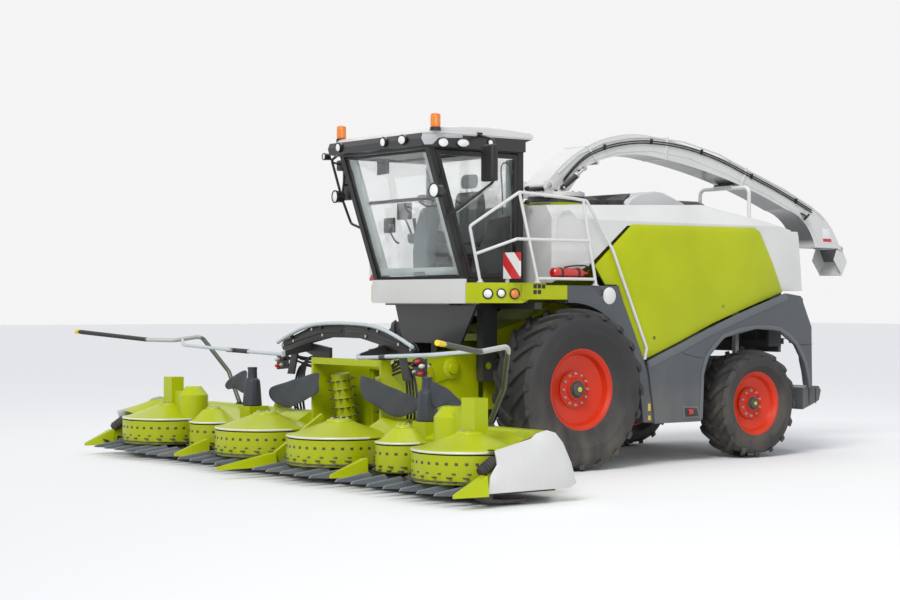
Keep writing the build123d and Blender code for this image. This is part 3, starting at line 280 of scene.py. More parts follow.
tyre_rubber = worn_material("tyre_rubber", (0.022, 0.022, 0.024), 0.62, 0.30, 140.0, 0.0010)
rim_paint = worn_material("rim_paint", (0.62, 0.030, 0.004), 0.34, 0.05, 60.0, 0.0002, coat=0.15, shine=0.3)
cast_grey = worn_material("cast_grey", (0.075, 0.080, 0.086), 0.55, 0.35, 120.0, 0.0008)
zinc_steel = worn_material("zinc_steel", (0.50, 0.50, 0.50), 0.32, 0.2, 200.0, 0.0002, metallic=0.9)
dark_hub = worn_material("dark_hub", (0.05, 0.052, 0.056), 0.45, 0.2, 120.0, 0.0004)
plug_yellow = worn_material("plug_yellow", (0.62, 0.52, 0.02), 0.35, 0.05, 80.0, 0.0002, coat=0.3)
for side in ("left", "right"):
    dress(f"tyre_front_{side}", tyre_rubber)
    dress(f"tyre_rear_{side}", tyre_rubber)
    dress(f"rim_front_{side}", rim_paint)
    dress(f"rim_rear_{side}", rim_paint)
    dress(f"steering_knuckle_{side}", cast_grey)
dress("axles", cast_grey)


def begin():
    """Leaves object mode with nothing selected, so that an operator acts on the new piece alone."""
    if bpy.context.mode != "OBJECT":
        bpy.ops.object.mode_set(mode="OBJECT")
    bpy.ops.object.select_all(action="DESELECT")


def pick(piece):
    """Makes one piece the selected and active one."""
    begin()
    piece.select_set(True)
    bpy.context.view_layer.objects.active = piece


def round_edges(piece, width, segments=2, angle=32):
    """Rounds a piece's sharp edges with a bevel."""
    bevel = piece.modifiers.new("edges", "BEVEL")
    bevel.width = width
    bevel.segments = segments
    bevel.limit_method = "ANGLE"
    bevel.angle_limit = radians(angle)


def harden(piece):
    """Applies a piece's modifiers, before it is finished, copied or joined."""
    pick(piece)
    for modifier in list(piece.modifiers):
        bpy.ops.object.modifier_apply(modifier=modifier.name)


def complete(piece, name, body, material, smooth=35):
    """Applies a piece's modifiers and place, smooths it and lets it ride on its body."""
    pick(piece)
    if piece.type != "MESH":
        bpy.ops.object.convert(target="MESH")
        piece = bpy.context.object
    harden(piece)
    bpy.ops.object.transform_apply(location=True, rotation=True, scale=True)
    bpy.ops.object.shade_smooth_by_angle(angle=radians(smooth))
    piece.name = name
    piece.data.name = name
    if material:
        piece.data.materials.clear()
        piece.data.materials.append(material)
    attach(piece, body)
    return piece


def join(pieces):
    """Joins pieces, each with its own finish, into one object."""
    begin()
    for piece in pieces:
        piece.select_set(True)
    bpy.context.view_layer.objects.active = pieces[0]
    bpy.ops.object.join()
    return bpy.context.object


def twin(piece):
    """A copy of a piece with a mesh of its own."""
    copy = piece.copy()
    copy.data = piece.data.copy()
    scene.collection.objects.link(copy)
    return copy


def open_mesh(action="SELECT"):
    """Opens the active piece for editing with all of it selected, or none."""
    bpy.ops.object.mode_set(mode="EDIT")
    bpy.ops.mesh.select_all(action=action)


def lathe(profile, centre, axis, steps=40):
    """A solid turned about an axis through centre, from a closed profile of (along, radius) points."""
    centre, axis = Vector(centre), Vector(axis).normalized()
    side = axis.orthogonal().normalized()
    begin()
    bpy.ops.mesh.primitive_circle_add(vertices=len(profile), radius=1, fill_type="NOTHING")
    shape = bpy.context.object
    for corner, (along, radius) in zip(shape.data.vertices, profile):
        corner.co = centre + axis * along + side * radius
    open_mesh()
    bpy.ops.mesh.spin(steps=steps, angle=2 * pi, center=centre, axis=axis)
    bpy.ops.mesh.select_all(action="SELECT")
    bpy.ops.mesh.remove_doubles(threshold=0.00001)
    bpy.ops.mesh.normals_make_consistent(inside=False)
    bpy.ops.object.mode_set(mode="OBJECT")
    return shape


def ring_of(piece, count, centre, axis, start=0.0):
    """The piece copied round an axis, all joined into one."""
    copies = [piece]
    for index in range(1, count):
        copy = twin(piece)
        turn = Matrix.Rotation(2 * pi * index / count, 4, Vector(axis))
        copy.data.transform(Matrix.Translation(centre) @ turn @ Matrix.Translation(-Vector(centre)))
        copies.append(copy)
    whole = join(copies)
    whole.data.transform(Matrix.Translation(centre) @ Matrix.Rotation(start, 4, Vector(axis))
                         @ Matrix.Translation(-Vector(centre)))
    return whole


# Each wheel's name, centre, how far its hub face stands out, bolt circle radius, nuts and cap radius
wheel_hubs = (("front", (1.2, 0.0, 0.885), 0.122, 0.165, 12, 0.085),
              ("rear", (1.075, 2.88, 0.64), 0.102, 0.145, 10, 0.068))
for side, x_sign in both_sides:
    out = Vector((x_sign, 0, 0))
    for place_name, (x, y, z), face, bolt_ring, count, cap in wheel_hubs:
        hub = spot(x_sign * x, y, z)
        nut_up = Vector((0, 0, bolt_ring + 0.006))
        body = f"wheel_{place_name}_{side}"
        plate_ring = lathe([(face - 0.050, 0.06), (face - 0.050, bolt_ring + 0.035),
                            (face - 0.036, bolt_ring + 0.036), (face - 0.030, bolt_ring + 0.016),
                            (face - 0.012, bolt_ring - 0.036), (face + 0.012, bolt_ring - 0.048),
                            (face + 0.012, 0.06)], hub, out, 40)
        complete(plate_ring, f"hub_flange_{place_name}_{side}", body, rim_paint)
        hub_cap = lathe([(face + 0.008, 0.0), (face + 0.008, cap + 0.012), (face + 0.020, cap + 0.012),
                         (face + 0.024, cap), (face + 0.050, cap - 0.006), (face + 0.058, cap - 0.016),
                         (face + 0.060, 0.020), (face + 0.066, 0.018), (face + 0.066, 0.0)], hub, out, 32)
        complete(hub_cap, f"hub_cap_{place_name}_{side}", body, dark_hub)
        plug = lathe([(face + 0.060, 0.0), (face + 0.060, cap * 0.34), (face + 0.068, cap * 0.32),
                      (face + 0.072, cap * 0.20), (face + 0.073, 0.0)], hub, out, 24)
        complete(plug, f"hub_plug_{place_name}_{side}", body, plug_yellow)
        begin()
        bpy.ops.mesh.primitive_cylinder_add(vertices=6, radius=0.0165, depth=0.030, end_fill_type="NGON",
                                            location=hub + out * (face - 0.026) + nut_up,
                                            rotation=(0, pi / 2, 0))
        nut = bpy.context.object
        bpy.ops.object.transform_apply(location=True, rotation=True, scale=True)
        nut.data.materials.append(zinc_steel)
        tip = lathe([(face - 0.014, 0.0), (face - 0.014, 0.0085), (face + 0.004, 0.0085),
                     (face + 0.006, 0.0)], hub + nut_up, out, 10)
        tip.data.materials.append(zinc_steel)
        nuts = ring_of(join([nut, tip]), count, hub, out)
        round_edges(nuts, 0.0015, 1)
        complete(nuts, f"wheel_nuts_{place_name}_{side}", body, None)

# Frame, engine and crop duct
# Welded box-section rails with cross members, painted dark grey, carry the diesel engine, which
# lies across the frame, and the chopper housing with the sheet-steel duct that rises behind the cab.


def places(x_sign, *points):
    """Places from the front axle, with X on one side of the machine."""
    return [spot(x_sign * x, y, z) for x, y, z in points]


def rod(points, radius, name, body, material, sides=3):
    """A bent tube or hose of round section along a smooth line through a few points."""
    begin()
    bpy.ops.curve.primitive_nurbs_path_add()
    route = bpy.context.object
    line = route.data.splines[0]
    while len(line.points) < len(points):
        line.points.add(1)
    last = [points[-1]] * (len(line.points) - len(points))
    for knot, point in zip(line.points, list(points) + last):
        knot.co = (*point, 1)
    line.order_u = 3 if len(points) > 2 else 2
    line.use_endpoint_u = True
    route.data.bevel_depth = radius
    route.data.bevel_resolution = sides
    route.data.use_fill_caps = True
    route.data.resolution_u = 8
    return complete(route, name, body, material, 60)


lime = (0.44, 0.50, 0.002)
white = (0.68, 0.68, 0.665)
paint_black = (0.018, 0.018, 0.019)
lime_paint = worn_material("lime_paint", lime, 0.32, 0.03, 40.0, 0.00015, coat=0.12, shine=0.25)
white_paint = worn_material("white_paint", white, 0.30, 0.10, 40.0, 0.00015, coat=0.3)
frame_paint = worn_material("frame_paint", (0.045, 0.048, 0.052), 0.50, 0.35, 90.0, 0.0005)
black_paint = worn_material("black_paint", paint_black, 0.42, 0.22, 90.0, 0.0003)
black_rubber = worn_material("black_rubber", (0.020, 0.020, 0.021), 0.70, 0.25, 260.0, 0.0005)
dress("main_frame", frame_paint)
dress("engine_block", cast_grey)
dress("crop_duct", lime_paint)

for x_sign in (1, -1):
    for name, z in (("rail_hose_low", 1.215), ("rail_hose_high", 1.245)):
        rod(places(x_sign, (0.37, -0.42, z), (0.40, 0.0, z + 0.02), (0.40, 0.9, z - 0.01), (0.40, 1.4, z)),
            0.013, f"{name}_{'left' if x_sign > 0 else 'right'}", "chassis", black_rubber)

# Hood, side panels and air intake
# A white moulded hood covers the engine, with a light-grey air intake raised on its deck.
# The lime side panels are pressed sheets with creased facets, hung on hidden pins and held by latches.
dress("engine_hood", white_paint)
grey_paint = worn_material("grey_paint", (0.52, 0.53, 0.54), 0.40, 0.12, 60.0, 0.0002, coat=0.2)


def cut_shape(points):
    """A filled circle whose corners are set at points: the start of a cut plate."""
    begin()
    bpy.ops.mesh.primitive_circle_add(vertices=len(points), radius=1, fill_type="NGON")
    shape = bpy.context.object
    for corner, point in zip(shape.data.vertices, points):
        corner.co = point
    return shape


def plate(outline, axis, low, high, edge=0.003, segments=2):
    """A plate cut to an outline and given its thickness along X, Y or Z, with rounded edges.

    The outline holds the two other coordinates, from the front axle.
    """
    if axis == "X":
        points = [spot(low, u, v) for u, v in outline]
    elif axis == "Y":
        points = [spot(u, low, v) for u, v in outline]
    else:
        points = [spot(u, v, low) for u, v in outline]
    shape = cut_shape(points)
    move = [0, 0, 0]
    move["XYZ".index(axis)] = high - low
    open_mesh()
    bpy.ops.mesh.extrude_region_move(TRANSFORM_OT_translate={"value": move})
    bpy.ops.mesh.select_all(action="SELECT")
    bpy.ops.mesh.normals_make_consistent(inside=False)
    bpy.ops.object.mode_set(mode="OBJECT")
    if edge:
        round_edges(shape, edge, segments)
    return shape


def span(x_sign, low, high):
    """A stretch of X on one side of the machine, its ends in rising order."""
    return sorted((x_sign * low, x_sign * high))


def oblong(u_low, u_high, v_low, v_high):
    """A rectangle's outline."""
    return [(u_low, v_low), (u_high, v_low), (u_high, v_high), (u_low, v_high)]


def facet(points, x):
    """One flat facet of a pressed panel; each point is (y, z, how far it stands proud)."""
    return cut_shape([spot(x + proud, y, z) for y, z, proud in points])


def mirror_across(piece):
    """The piece's mirror image on the machine's right side, with its faces turned outwards again."""
    begin()
    copy = twin(piece)
    copy.data.transform(Matrix.Scale(-1, 4, (1, 0, 0)))
    copy.data.flip_normals()
    return copy


def pressed_sheet(facets, x, thickness):
    """Facets merged into one creased sheet on the left side, its thickness added inwards."""
    sheet = join([facet(points, x) for points in facets])
    pick(sheet)
    open_mesh()
    bpy.ops.mesh.remove_doubles(threshold=0.0005)
    bpy.ops.mesh.quads_convert_to_tris()
    bpy.ops.mesh.normals_make_consistent(inside=False)
    bpy.ops.object.mode_set(mode="OBJECT")
    if sum(face.normal.x * face.area for face in sheet.data.polygons) < 0:
        sheet.data.flip_normals()
    thick = sheet.modifiers.new("sheet", "SOLIDIFY")
    thick.thickness = thickness
    thick.offset = -1
    return sheet


peak = (1.46, 2.536, 0.014)
front_mid, low_mid = (0.395, 2.20, -0.004), (2.18, 1.592, 0.0)
top_front, top_rear = (0.99, 2.645, 0.004), (2.91, 2.655, 0.002)
top_corner = (2.993, 2.681, -0.020)
facets = (
    [(0.371, 2.246, -0.014), (0.934, 2.716, -0.022), top_front, peak, front_mid],
    [(0.934, 2.716, -0.022), (1.6, 2.722, -0.024), (2.897, 2.732, -0.022), top_corner, top_rear, top_front],
    [top_front, top_rear, top_corner, (3.194, 2.323, -0.010), (3.374, 1.967, -0.012),
     (2.67, 1.75, -0.004), low_mid, peak],
    [front_mid, peak, low_mid, (2.07, 1.548, 0.0), (1.603, 1.367, 0.0), (1.145, 1.201, -0.002),
     (1.088, 1.172, -0.004), (1.08, 1.18, -0.004), (0.912, 1.533, -0.003), (0.757, 1.855, -0.003),
     (0.692, 2.03, -0.003), (0.52, 2.03, -0.004)])
panel = pressed_sheet(facets, 1.220, 0.026)
round_edges(panel, 0.007, 3, 50)
for side, piece in (("left", panel), ("right", mirror_across(panel))):
    complete(piece, f"side_panel_{side}", "chassis", lime_paint, 28)
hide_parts("side_panels")

slate_plastic = worn_material("slate_plastic", (0.082, 0.092, 0.104), 0.42, 0.30, 220.0, 0.00025)
near_black = (0.012, 0.012, 0.013)
satin_black = worn_material("satin_black", near_black, 0.36, 0.18, 160.0, 0.0002)


def latch(y, z, x, name):
    """A quarter-turn latch: a dished collar with a slotted head."""
    for side, x_sign in both_sides:
        centre = spot(x_sign * x, y, z)
        out = Vector((x_sign, 0, 0))
        collar = lathe([(-0.006, 0.0), (-0.006, 0.021), (0.003, 0.021), (0.005, 0.017), (0.002, 0.013),
                        (0.004, 0.0)], centre, out, 20)
        slot_bar = plate(oblong(y - 0.012, y + 0.012, z - 0.003, z + 0.003), "X",
                         *span(x_sign, x + 0.001, x + 0.006), edge=0.001)
        pick(collar)
        complete(join([collar, slot_bar]), f"{name}_{side}", "chassis", satin_black)


latch(1.255, 1.434, 1.216, "panel_latch_low")
latch(2.354, 1.794, 1.216, "panel_latch_rear")
latch(0.965, 2.672, 1.200, "panel_latch_top")

# Service lid in the hood's side ahead of the panel: a pressed frame round a shallow recess
lid_outline = [(-0.205, 2.12), (-0.205, 2.60), (-0.18, 2.76), (-0.10, 2.835), (0.02, 2.85), (0.10, 2.79),
               (0.20, 2.60), (0.30, 2.38), (0.33, 2.27)]
for side, x_sign in both_sides:
    lid = plate(lid_outline, "X", *span(x_sign, 1.176, 1.186), edge=0)
    pick(lid)
    open_mesh("DESELECT")
    bpy.ops.object.mode_set(mode="OBJECT")
    for face in lid.data.polygons:
        face.select = face.normal.x * x_sign > 0.9
    bpy.ops.object.mode_set(mode="EDIT")
    bpy.ops.mesh.select_mode(type="FACE")
    bpy.ops.mesh.inset(thickness=0.028, depth=0)
    bpy.ops.mesh.inset(thickness=0.010, depth=-0.012)
    bpy.ops.object.mode_set(mode="OBJECT")
    round_edges(lid, 0.002, 2)
    complete(lid, f"hood_service_lid_{side}", "chassis", white_paint)

# Air intake: a low dome on the deck behind the duct with its louvred front and two round filter caps
intake_side = [(1.12, 2.945), (1.19, 3.02), (1.30, 3.075), (1.45, 3.108), (1.56, 3.122), (1.68, 3.112),
               (1.86, 3.052), (2.025, 2.992), (2.03, 2.965)]
intake = plate([(y, z + 0.003) for y, z in intake_side], "X", -0.905, 0.905, edge=0.035, segments=4)
complete(intake, "air_intake", "chassis", grey_paint)
louvre = plate([(1.105, 2.962), (1.118, 2.952), (1.178, 3.012), (1.165, 3.022)], "X", -0.80, 0.80,
               edge=0.002)
slats = [louvre]
for index in range(1, 4):
    copy = twin(louvre)
    copy.data.transform(Matrix.Translation((0, 0.030 * index, 0.024 * index)))
    slats.append(copy)
complete(join(slats), "intake_louvres", "chassis", satin_black)
for side, x_sign in both_sides:
    for index, (x, y, z) in enumerate(((0.62, 0.80, 2.945), (0.80, 1.02, 2.945))):
        cap = lathe([(0.0, 0.0), (0.0, 0.105), (0.045, 0.110), (0.060, 0.104), (0.082, 0.070),
                     (0.094, 0.030), (0.096, 0.0)], spot(x_sign * x, y, z), (0, 0, 1), 32)
        complete(cap, f"filter_cap_{index + 1}_{side}", "chassis", black_rubber)

# Seams and bolts along the hood's deck
bead = plate(oblong(-0.90, 0.90, -0.20, -0.188), "Z", 2.898, 2.906, edge=0.002)
complete(bead, "hood_front_seam", "chassis", grey_paint)
for index, y in enumerate((0.45, 2.19)):
    seam = plate(oblong(-0.96, 0.96, y, y + 0.006), "Z", 2.93 + 0.036 * index, 2.945 + 0.044 * index,
                 edge=0.002)
    complete(seam, f"hood_cross_seam_{index + 1}", "chassis", grey_paint)

# Fenders, skirts and rear end
# Slate-grey moulded plastic: the front fender with its arched liner, the skirt with a rolled lip
# round the rear wheel, and the rear cladding over the ballast weight and its coupling.
for node in ("front_fenders", "rear_skirts", "rear_weight"):
    dress(node, slate_plastic)
pale_plate = worn_material("pale_plate", (0.78, 0.78, 0.77), 0.35, 0.10, 60.0, 0.0001, coat=0.3)
yellow_plate = worn_material("yellow_plate", (0.78, 0.56, 0.01), 0.38, 0.10, 60.0, 0.0001, coat=0.3)
red_gloss = worn_material("red_gloss", (0.55, 0.012, 0.010), 0.25, 0.10, 60.0, 0.0001, coat=0.5)
# A lighter copy of the slate plastic: painted highlight on the bevelled lips, bands and frames that catch
# the light.
lit_lip_plastic = worn_material("lit_lip_plastic", (0.115, 0.128, 0.142), 0.40, 0.25, 220.0, 0.0002)


def band(line, width, x, depth, name, material, edge=0.006, body="chassis"):
    """A raised band that follows a line of (y, z) points on both sides of the machine."""
    inner = []
    for index, (y, z) in enumerate(line):
        before, after = line[max(index - 1, 0)], line[min(index + 1, len(line) - 1)]
        run = Vector((after[0] - before[0], after[1] - before[1])).normalized()
        inner.append((y + run.y * width, z - run.x * width))
    for side, x_sign in both_sides:
        piece = plate(line + inner[::-1], "X", *span(x_sign, x, x + depth), edge=edge, segments=3)
        complete(piece, f"{name}_{side}", body, material, 30)


arch_lip = [(1.921, 0.470), (1.969, 0.500), (1.990, 1.000), (2.022, 1.100), (2.064, 1.196), (2.180, 1.318),
            (2.323, 1.425), (2.580, 1.492), (2.854, 1.526), (3.060, 1.522), (3.250, 1.500), (3.400, 1.428),
            (3.530, 1.330), (3.620, 1.215), (3.690, 1.100), (3.735, 0.950), (3.770, 0.815)]
band(arch_lip, -0.048, 1.268, 0.012, "arch_lip", lit_lip_plastic)
skirt_top = [(1.115, 1.178), (1.145, 1.186), (1.603, 1.352), (2.07, 1.533), (2.67, 1.735), (3.374, 1.952)]
band(skirt_top, 0.085, 1.266, 0.010, "skirt_shoulder", lit_lip_plastic, 0.005)
band([(1.582, 1.335), (1.615, 1.285), (1.680, 1.248), (1.860, 1.212), (1.985, 1.196)], 0.007, 1.268, 0.004,
     "skirt_seam", satin_black, 0.001)
band([(3.500, 1.320), (3.640, 1.330), (3.830, 1.338)], 0.007, 1.268, 0.004, "rear_seam", satin_black, 0.001)
band([(0.69, 1.975), (0.62, 1.905), (0.55, 1.805), (0.53, 1.775)], 0.006, 1.248, 0.004, "fender_seam",
     lit_lip_plastic, 0.001)

# Recess with a lashing eye low in the skirt: a dark tray framed by a lip, with a red catch in it
recess = [(1.640, 0.655), (1.905, 0.640), (1.945, 0.505), (1.660, 0.500)]
tray = [(1.672, 0.628), (1.872, 0.618), (1.902, 0.528), (1.690, 0.524)]
for side, x_sign in both_sides:
    frame_piece = plate(recess, "X", *span(x_sign, 1.266, 1.277), edge=0.005)
    complete(frame_piece, f"lashing_frame_{side}", "chassis", lit_lip_plastic)
    tray_piece = plate(tray, "X", *span(x_sign, 1.270, 1.2785), edge=0.002)
    complete(tray_piece, f"lashing_tray_{side}", "chassis", satin_black)
    catch = plate([(1.735, 0.610), (1.800, 0.610), (1.812, 0.560), (1.745, 0.545)], "X",
                  *span(x_sign, 1.272, 1.292), edge=0.006, segments=3)
    complete(catch, f"lashing_catch_{side}", "chassis", red_gloss)

# Blank plates on the fender: the round white one with its bolt, and two small yellow ones low down
for side, x_sign in both_sides:
    out = Vector((x_sign, 0, 0))
    disc = lathe([(-0.001, 0.0), (-0.001, 0.092), (0.0015, 0.094), (0.004, 0.090), (0.0035, 0.0)],
                 spot(x_sign * 1.250, 0.545, 1.909), out, 48)
    complete(disc, f"round_plate_{side}", "chassis", pale_plate)
    for index, (y, z, tall) in enumerate(((1.150, 0.650, 0.082), (1.152, 0.530, 0.052))):
        tag = plate(oblong(y - 0.020, y + 0.020, z - tall / 2, z + tall / 2), "X",
                    *span(x_sign, 1.2495, 1.2525), edge=0.001)
        complete(tag, f"fender_tag_{index + 1}_{side}", "chassis", yellow_plate)
    rod(places(x_sign, (1.252, 0.42, 1.975), (1.272, 0.43, 1.965), (1.274, 0.43, 1.925),
               (1.252, 0.42, 1.915)), 0.006, f"fender_hook_{side}", "chassis", satin_black)

# Rear cladding: stepped corner boxes with tail lamps, above the weight
tail_red = worn_material("tail_red", (0.45, 0.006, 0.006), 0.18, 0.05, 60.0, 0.0001, coat=0.8)
amber_lens = worn_material("amber_lens", (0.80, 0.22, 0.004), 0.16, 0.05, 60.0, 0.0001, coat=0.8)
for side, x_sign in both_sides:
    corner = plate([(3.655, 1.905), (3.715, 1.895), (3.745, 1.575), (3.822, 1.545), (3.826, 1.345),
                    (3.655, 1.345)], "X", *span(x_sign, 1.040, 1.228), edge=0.012, segments=3)
    complete(corner, f"rear_corner_{side}", "chassis", slate_plastic)
    step = plate([(3.690, 1.330), (3.822, 1.330), (3.832, 0.830), (3.790, 0.830), (3.760, 0.990),
                  (3.715, 1.140)], "X", *span(x_sign, 1.150, 1.228), edge=0.010, segments=3)
    complete(step, f"rear_leg_{side}", "chassis", slate_plastic)
    for index, (z, lens) in enumerate(((1.475, tail_red), (1.400, amber_lens))):
        lamp = lathe([(-0.004, 0.0), (-0.004, 0.036), (0.008, 0.036), (0.016, 0.028), (0.020, 0.014),
                      (0.021, 0.0)], spot(x_sign * 1.135, 3.824, z), (0, 1, 0), 28)
        complete(lamp, f"tail_lamp_{index + 1}_{side}", "chassis", lens)
    rim_bolt = lathe([(0.0, 0.0), (0.0, 0.014), (0.006, 0.014), (0.009, 0.009), (0.009, 0.0)],
                     spot(x_sign * 1.228, 3.775, 1.070), (x_sign, 0, 0), 12)
    complete(rim_bolt, f"leg_bolt_{side}", "chassis", satin_black)
    for index, y in enumerate((3.90, 4.02)):
        groove = plate(oblong(y, y + 0.012, 0.60, 0.79), "X", *span(x_sign, 1.149, 1.156), edge=0.003)
        complete(groove, f"weight_rib_{index + 1}_{side}", "chassis", satin_black)
horn = plate([(-0.16, 3.995), (0.16, 3.995), (0.12, 4.150), (-0.12, 4.150)], "Z", 0.655, 0.700, edge=0.008)
complete(horn, "coupling_housing", "chassis", satin_black)


def mesh_holes(tree, place):
    """Dark round holes of a cooler screen in rows over the sheet."""
    scaled = add_node(tree, "ShaderNodeMapping")
    scaled.inputs["Scale"].default_value = (1, 0, 1)
    tree.links.new(place, scaled.inputs["Vector"])
    cells = add_node(tree, "ShaderNodeTexVoronoi", feature="F1")
    cells.inputs["Scale"].default_value = 90
    cells.inputs["Randomness"].default_value = 0.0
    tree.links.new(scaled.outputs["Vector"], cells.inputs["Vector"])
    hole = reshape(tree, cells.outputs["Distance"], 0.30, 0.42)
    return blend_colour(tree, hole, (0.004, 0.004, 0.004, 1), (0.085, 0.092, 0.100, 1))


screen_sheet = worn_material("screen_sheet", (0.08, 0.09, 0.10), 0.5, 0.2, 200.0, 0.0002, paint=mesh_holes)
dress("rear_screen_door", slate_plastic)
for index in range(8):
    low = -0.765 + index * 0.1925
    mesh_panel = plate(oblong(low, low + 0.176, 1.295, 1.865), "Y", 3.716, 3.722, edge=0.001)
    complete(mesh_panel, f"screen_mesh_{index + 1}", "rear_door", screen_sheet)
rod(places(1, (-0.74, 3.752, 1.50), (-0.74, 3.785, 1.52), (-0.74, 3.785, 1.64), (-0.74, 3.752, 1.66)),
    0.009, "screen_door_grip", "rear_door", satin_black)

# Platform, handrails and rest arch
# Ribbed aluminium planks on lime brackets form the platform; its front strip holds the marker lamps.
# The handrails are bent tube with foot plates; they and the spout's rest arch are painted white.
dress("platform", lime_paint)
dress("handrails", white_paint)
dress("spout_rest_arch", white_paint)


def rib_rows(tree, place):
    """Light ribs across the platform's planks."""
    wave = add_node(tree, "ShaderNodeTexWave", wave_type="BANDS", bands_direction="Y")
    wave.inputs["Scale"].default_value = 12
    tree.links.new(place, wave.inputs["Vector"])
    return blend_colour(tree, reshape(tree, wave.outputs["Color"], 0.3, 0.6), (0.10, 0.105, 0.11, 1),
                        (0.30, 0.31, 0.32, 1))


deck_ribs = worn_material("deck_ribs", (0.2, 0.2, 0.2), 0.45, 0.4, 120.0, 0.0004, metallic=0.6,
                          paint=rib_rows)
left_deck = [(0.91, -0.376), (1.220, -0.376), (1.220, -0.71), (1.19, -0.86), (1.13, -0.98), (1.03, -1.085),
             (0.91, -1.155)]
right_deck = oblong(-0.91, -1.220, -0.86, -0.376)
for name, outline in (("platform_deck_left", left_deck), ("platform_deck_right", right_deck)):
    deck = plate(outline, "Z", 2.001, 2.007, edge=0.002)
    complete(deck, name, "chassis", deck_ribs)

lamp_white = worn_material("lamp_white", (0.86, 0.87, 0.86), 0.08, 0.03, 60.0, 0.0001, coat=1.0)
for name, centre, out, radius, lens in (
        ("strip_lamp_1", spot(1.110, -1.060, 1.925), Vector((0.70, -0.71, 0)), 0.046, lamp_white),
        ("strip_lamp_2", spot(1.192, -0.945, 1.930), Vector((0.91, -0.41, 0)), 0.040, lamp_white),
        ("strip_lamp_3", spot(1.238, -0.800, 1.925), Vector((0.97, -0.25, 0)), 0.048, amber_lens)):
    housing = lathe([(-0.012, 0.0), (-0.012, radius + 0.012), (0.012, radius + 0.012),
                     (0.016, radius + 0.006), (0.012, radius), (0.004, radius), (0.004, 0.0)], centre, out,
                    28)
    complete(housing, f"{name}_housing", "chassis", satin_black)
    glass = lathe([(0.004, 0.0), (0.004, radius - 0.002), (0.010, radius - 0.002), (0.020, radius * 0.6),
                   (0.024, 0.0)], centre, out, 28)
    complete(glass, f"{name}_lens", "chassis", lens)
for index, (y, z) in enumerate(((-0.535, 2.005), (-0.475, 2.005), (-0.415, 2.005), (-0.535, 1.945),
                                (-0.475, 1.945))):
    tag = plate(oblong(y - 0.024, y + 0.024, z - 0.022, z + 0.022), "X", 1.2615, 1.2640, edge=0.0008)
    complete(tag, f"strip_tag_{index + 1}", "chassis", satin_black)
for index, (x, y, z) in enumerate(((1.030, -1.100, 2.049), (1.262, -0.510, 2.049), (1.262, 0.320, 2.026))):
    foot = lathe([(-0.004, 0.0), (-0.004, 0.036), (0.006, 0.036), (0.010, 0.024), (0.030, 0.021),
                  (0.030, 0.0)], spot(x, y, z), (0, 0, 1), 24)
    complete(foot, f"rail_foot_{index + 1}", "chassis", white_paint)

# Cab
# A black painted steel frame glazed with tinted safety glass, under a white moulded roof shell that
# sits on a black band of lamps. Inside stand the sprung seat, the steering column and the console.


def above(tree, place, level, axis="Z", soft=0.002):
    """1 above a level along one axis of the frame, 0 below it."""
    parts = axes(tree, place)
    return reshape(tree, parts[axis], level - soft, level + soft)


def roof_colours(tree, place):
    """White shell above the black lamp band."""
    return blend_colour(tree, above(tree, place, 3.619), (*near_black, 1), (*white, 1))


def front_colours(tree, place):
    """White panel above the dark apron."""
    return blend_colour(tree, above(tree, place, 1.815), (0.020, 0.021, 0.023, 1), (*white, 1))


def lamp_colours(tree, place):
    """Amber beacons above the roof, black lamp housings below."""
    return blend_colour(tree, above(tree, place, 3.661), (*near_black, 1), (0.80, 0.17, 0.002, 1))


board_rate = 3.1
board_shift = 0.03


def board_stripes(tree, place):
    """Red and white stripes of the width boards, running down and outwards."""
    parts = axes(tree, place)
    across = combine(tree, "ADD", combine(tree, "ABSOLUTE", parts["X"]), parts["Z"])
    phase = combine(tree, "FRACT", combine(tree, "MULTIPLY", combine(tree, "ADD", across, board_shift),
                                           board_rate))
    return blend_colour(tree, reshape(tree, phase, 0.49, 0.51), (0.80, 0.80, 0.79, 1),
                        (0.62, 0.015, 0.02, 1))


white_base = (0.80, 0.80, 0.785)
roof_paint = worn_material("roof_paint", white_base, 0.30, 0.06, 40.0, 0.00015, coat=0.4,
                           paint=roof_colours)
front_paint = worn_material("front_paint", white_base, 0.30, 0.08, 40.0, 0.00015, coat=0.4,
                            paint=front_colours)
lamp_plastic = worn_material("lamp_plastic", (0.3, 0.2, 0.1), 0.22, 0.05, 60.0, 0.0001, coat=0.6,
                             paint=lamp_colours)
board_sheet = worn_material("board_sheet", (0.8, 0.2, 0.2), 0.30, 0.05, 60.0, 0.0001, coat=0.4,
                            paint=board_stripes)
window_glass = worn_material("window_glass", (0.84, 0.92, 0.91), 0.02, 0.0, 60.0, 0.00001)
surface = window_glass.node_tree.nodes["Principled BSDF"]
surface.inputs["Transmission Weight"].default_value = 1.0
surface.inputs["Alpha"].default_value = 0.22
surface.inputs["IOR"].default_value = 1.45
seat_cloth = worn_material("seat_cloth", (0.085, 0.100, 0.105), 0.85, 0.10, 420.0, 0.0012)
trim_grey = worn_material("trim_grey", (0.16, 0.20, 0.205), 0.62, 0.08, 260.0, 0.0005)
pillar_trim = worn_material("pillar_trim", (0.50, 0.56, 0.55), 0.60, 0.05, 260.0, 0.0004)
for node, finish in (("cab_frame", satin_black), ("front_panel", front_paint),
                     ("cab_windows", window_glass), ("cab_door", satin_black),
                     ("cab_door_glass", window_glass), ("cab_roof", roof_paint), ("lamps", lamp_plastic),
                     ("warning_boards", board_sheet), ("mirrors", satin_black)):
    dress(node, finish)


def windscreen_y(z, inset):
    """Y of the slanted windscreen's plane at a height, set in by an inset."""
    return -1.184 - (z - 2.086) * 0.34146 + inset


def slanted(x_low, x_high, z_low, z_high, inset, name, body, material, depth=0.012):
    """A strip that lies along the windscreen's plane."""
    piece = plate([(windscreen_y(z_low, inset), z_low), (windscreen_y(z_low, inset + depth), z_low),
                   (windscreen_y(z_high, inset + depth), z_high), (windscreen_y(z_high, inset), z_high)],
                  "X", x_low, x_high, edge=0.003)
    return complete(piece, name, body, material)


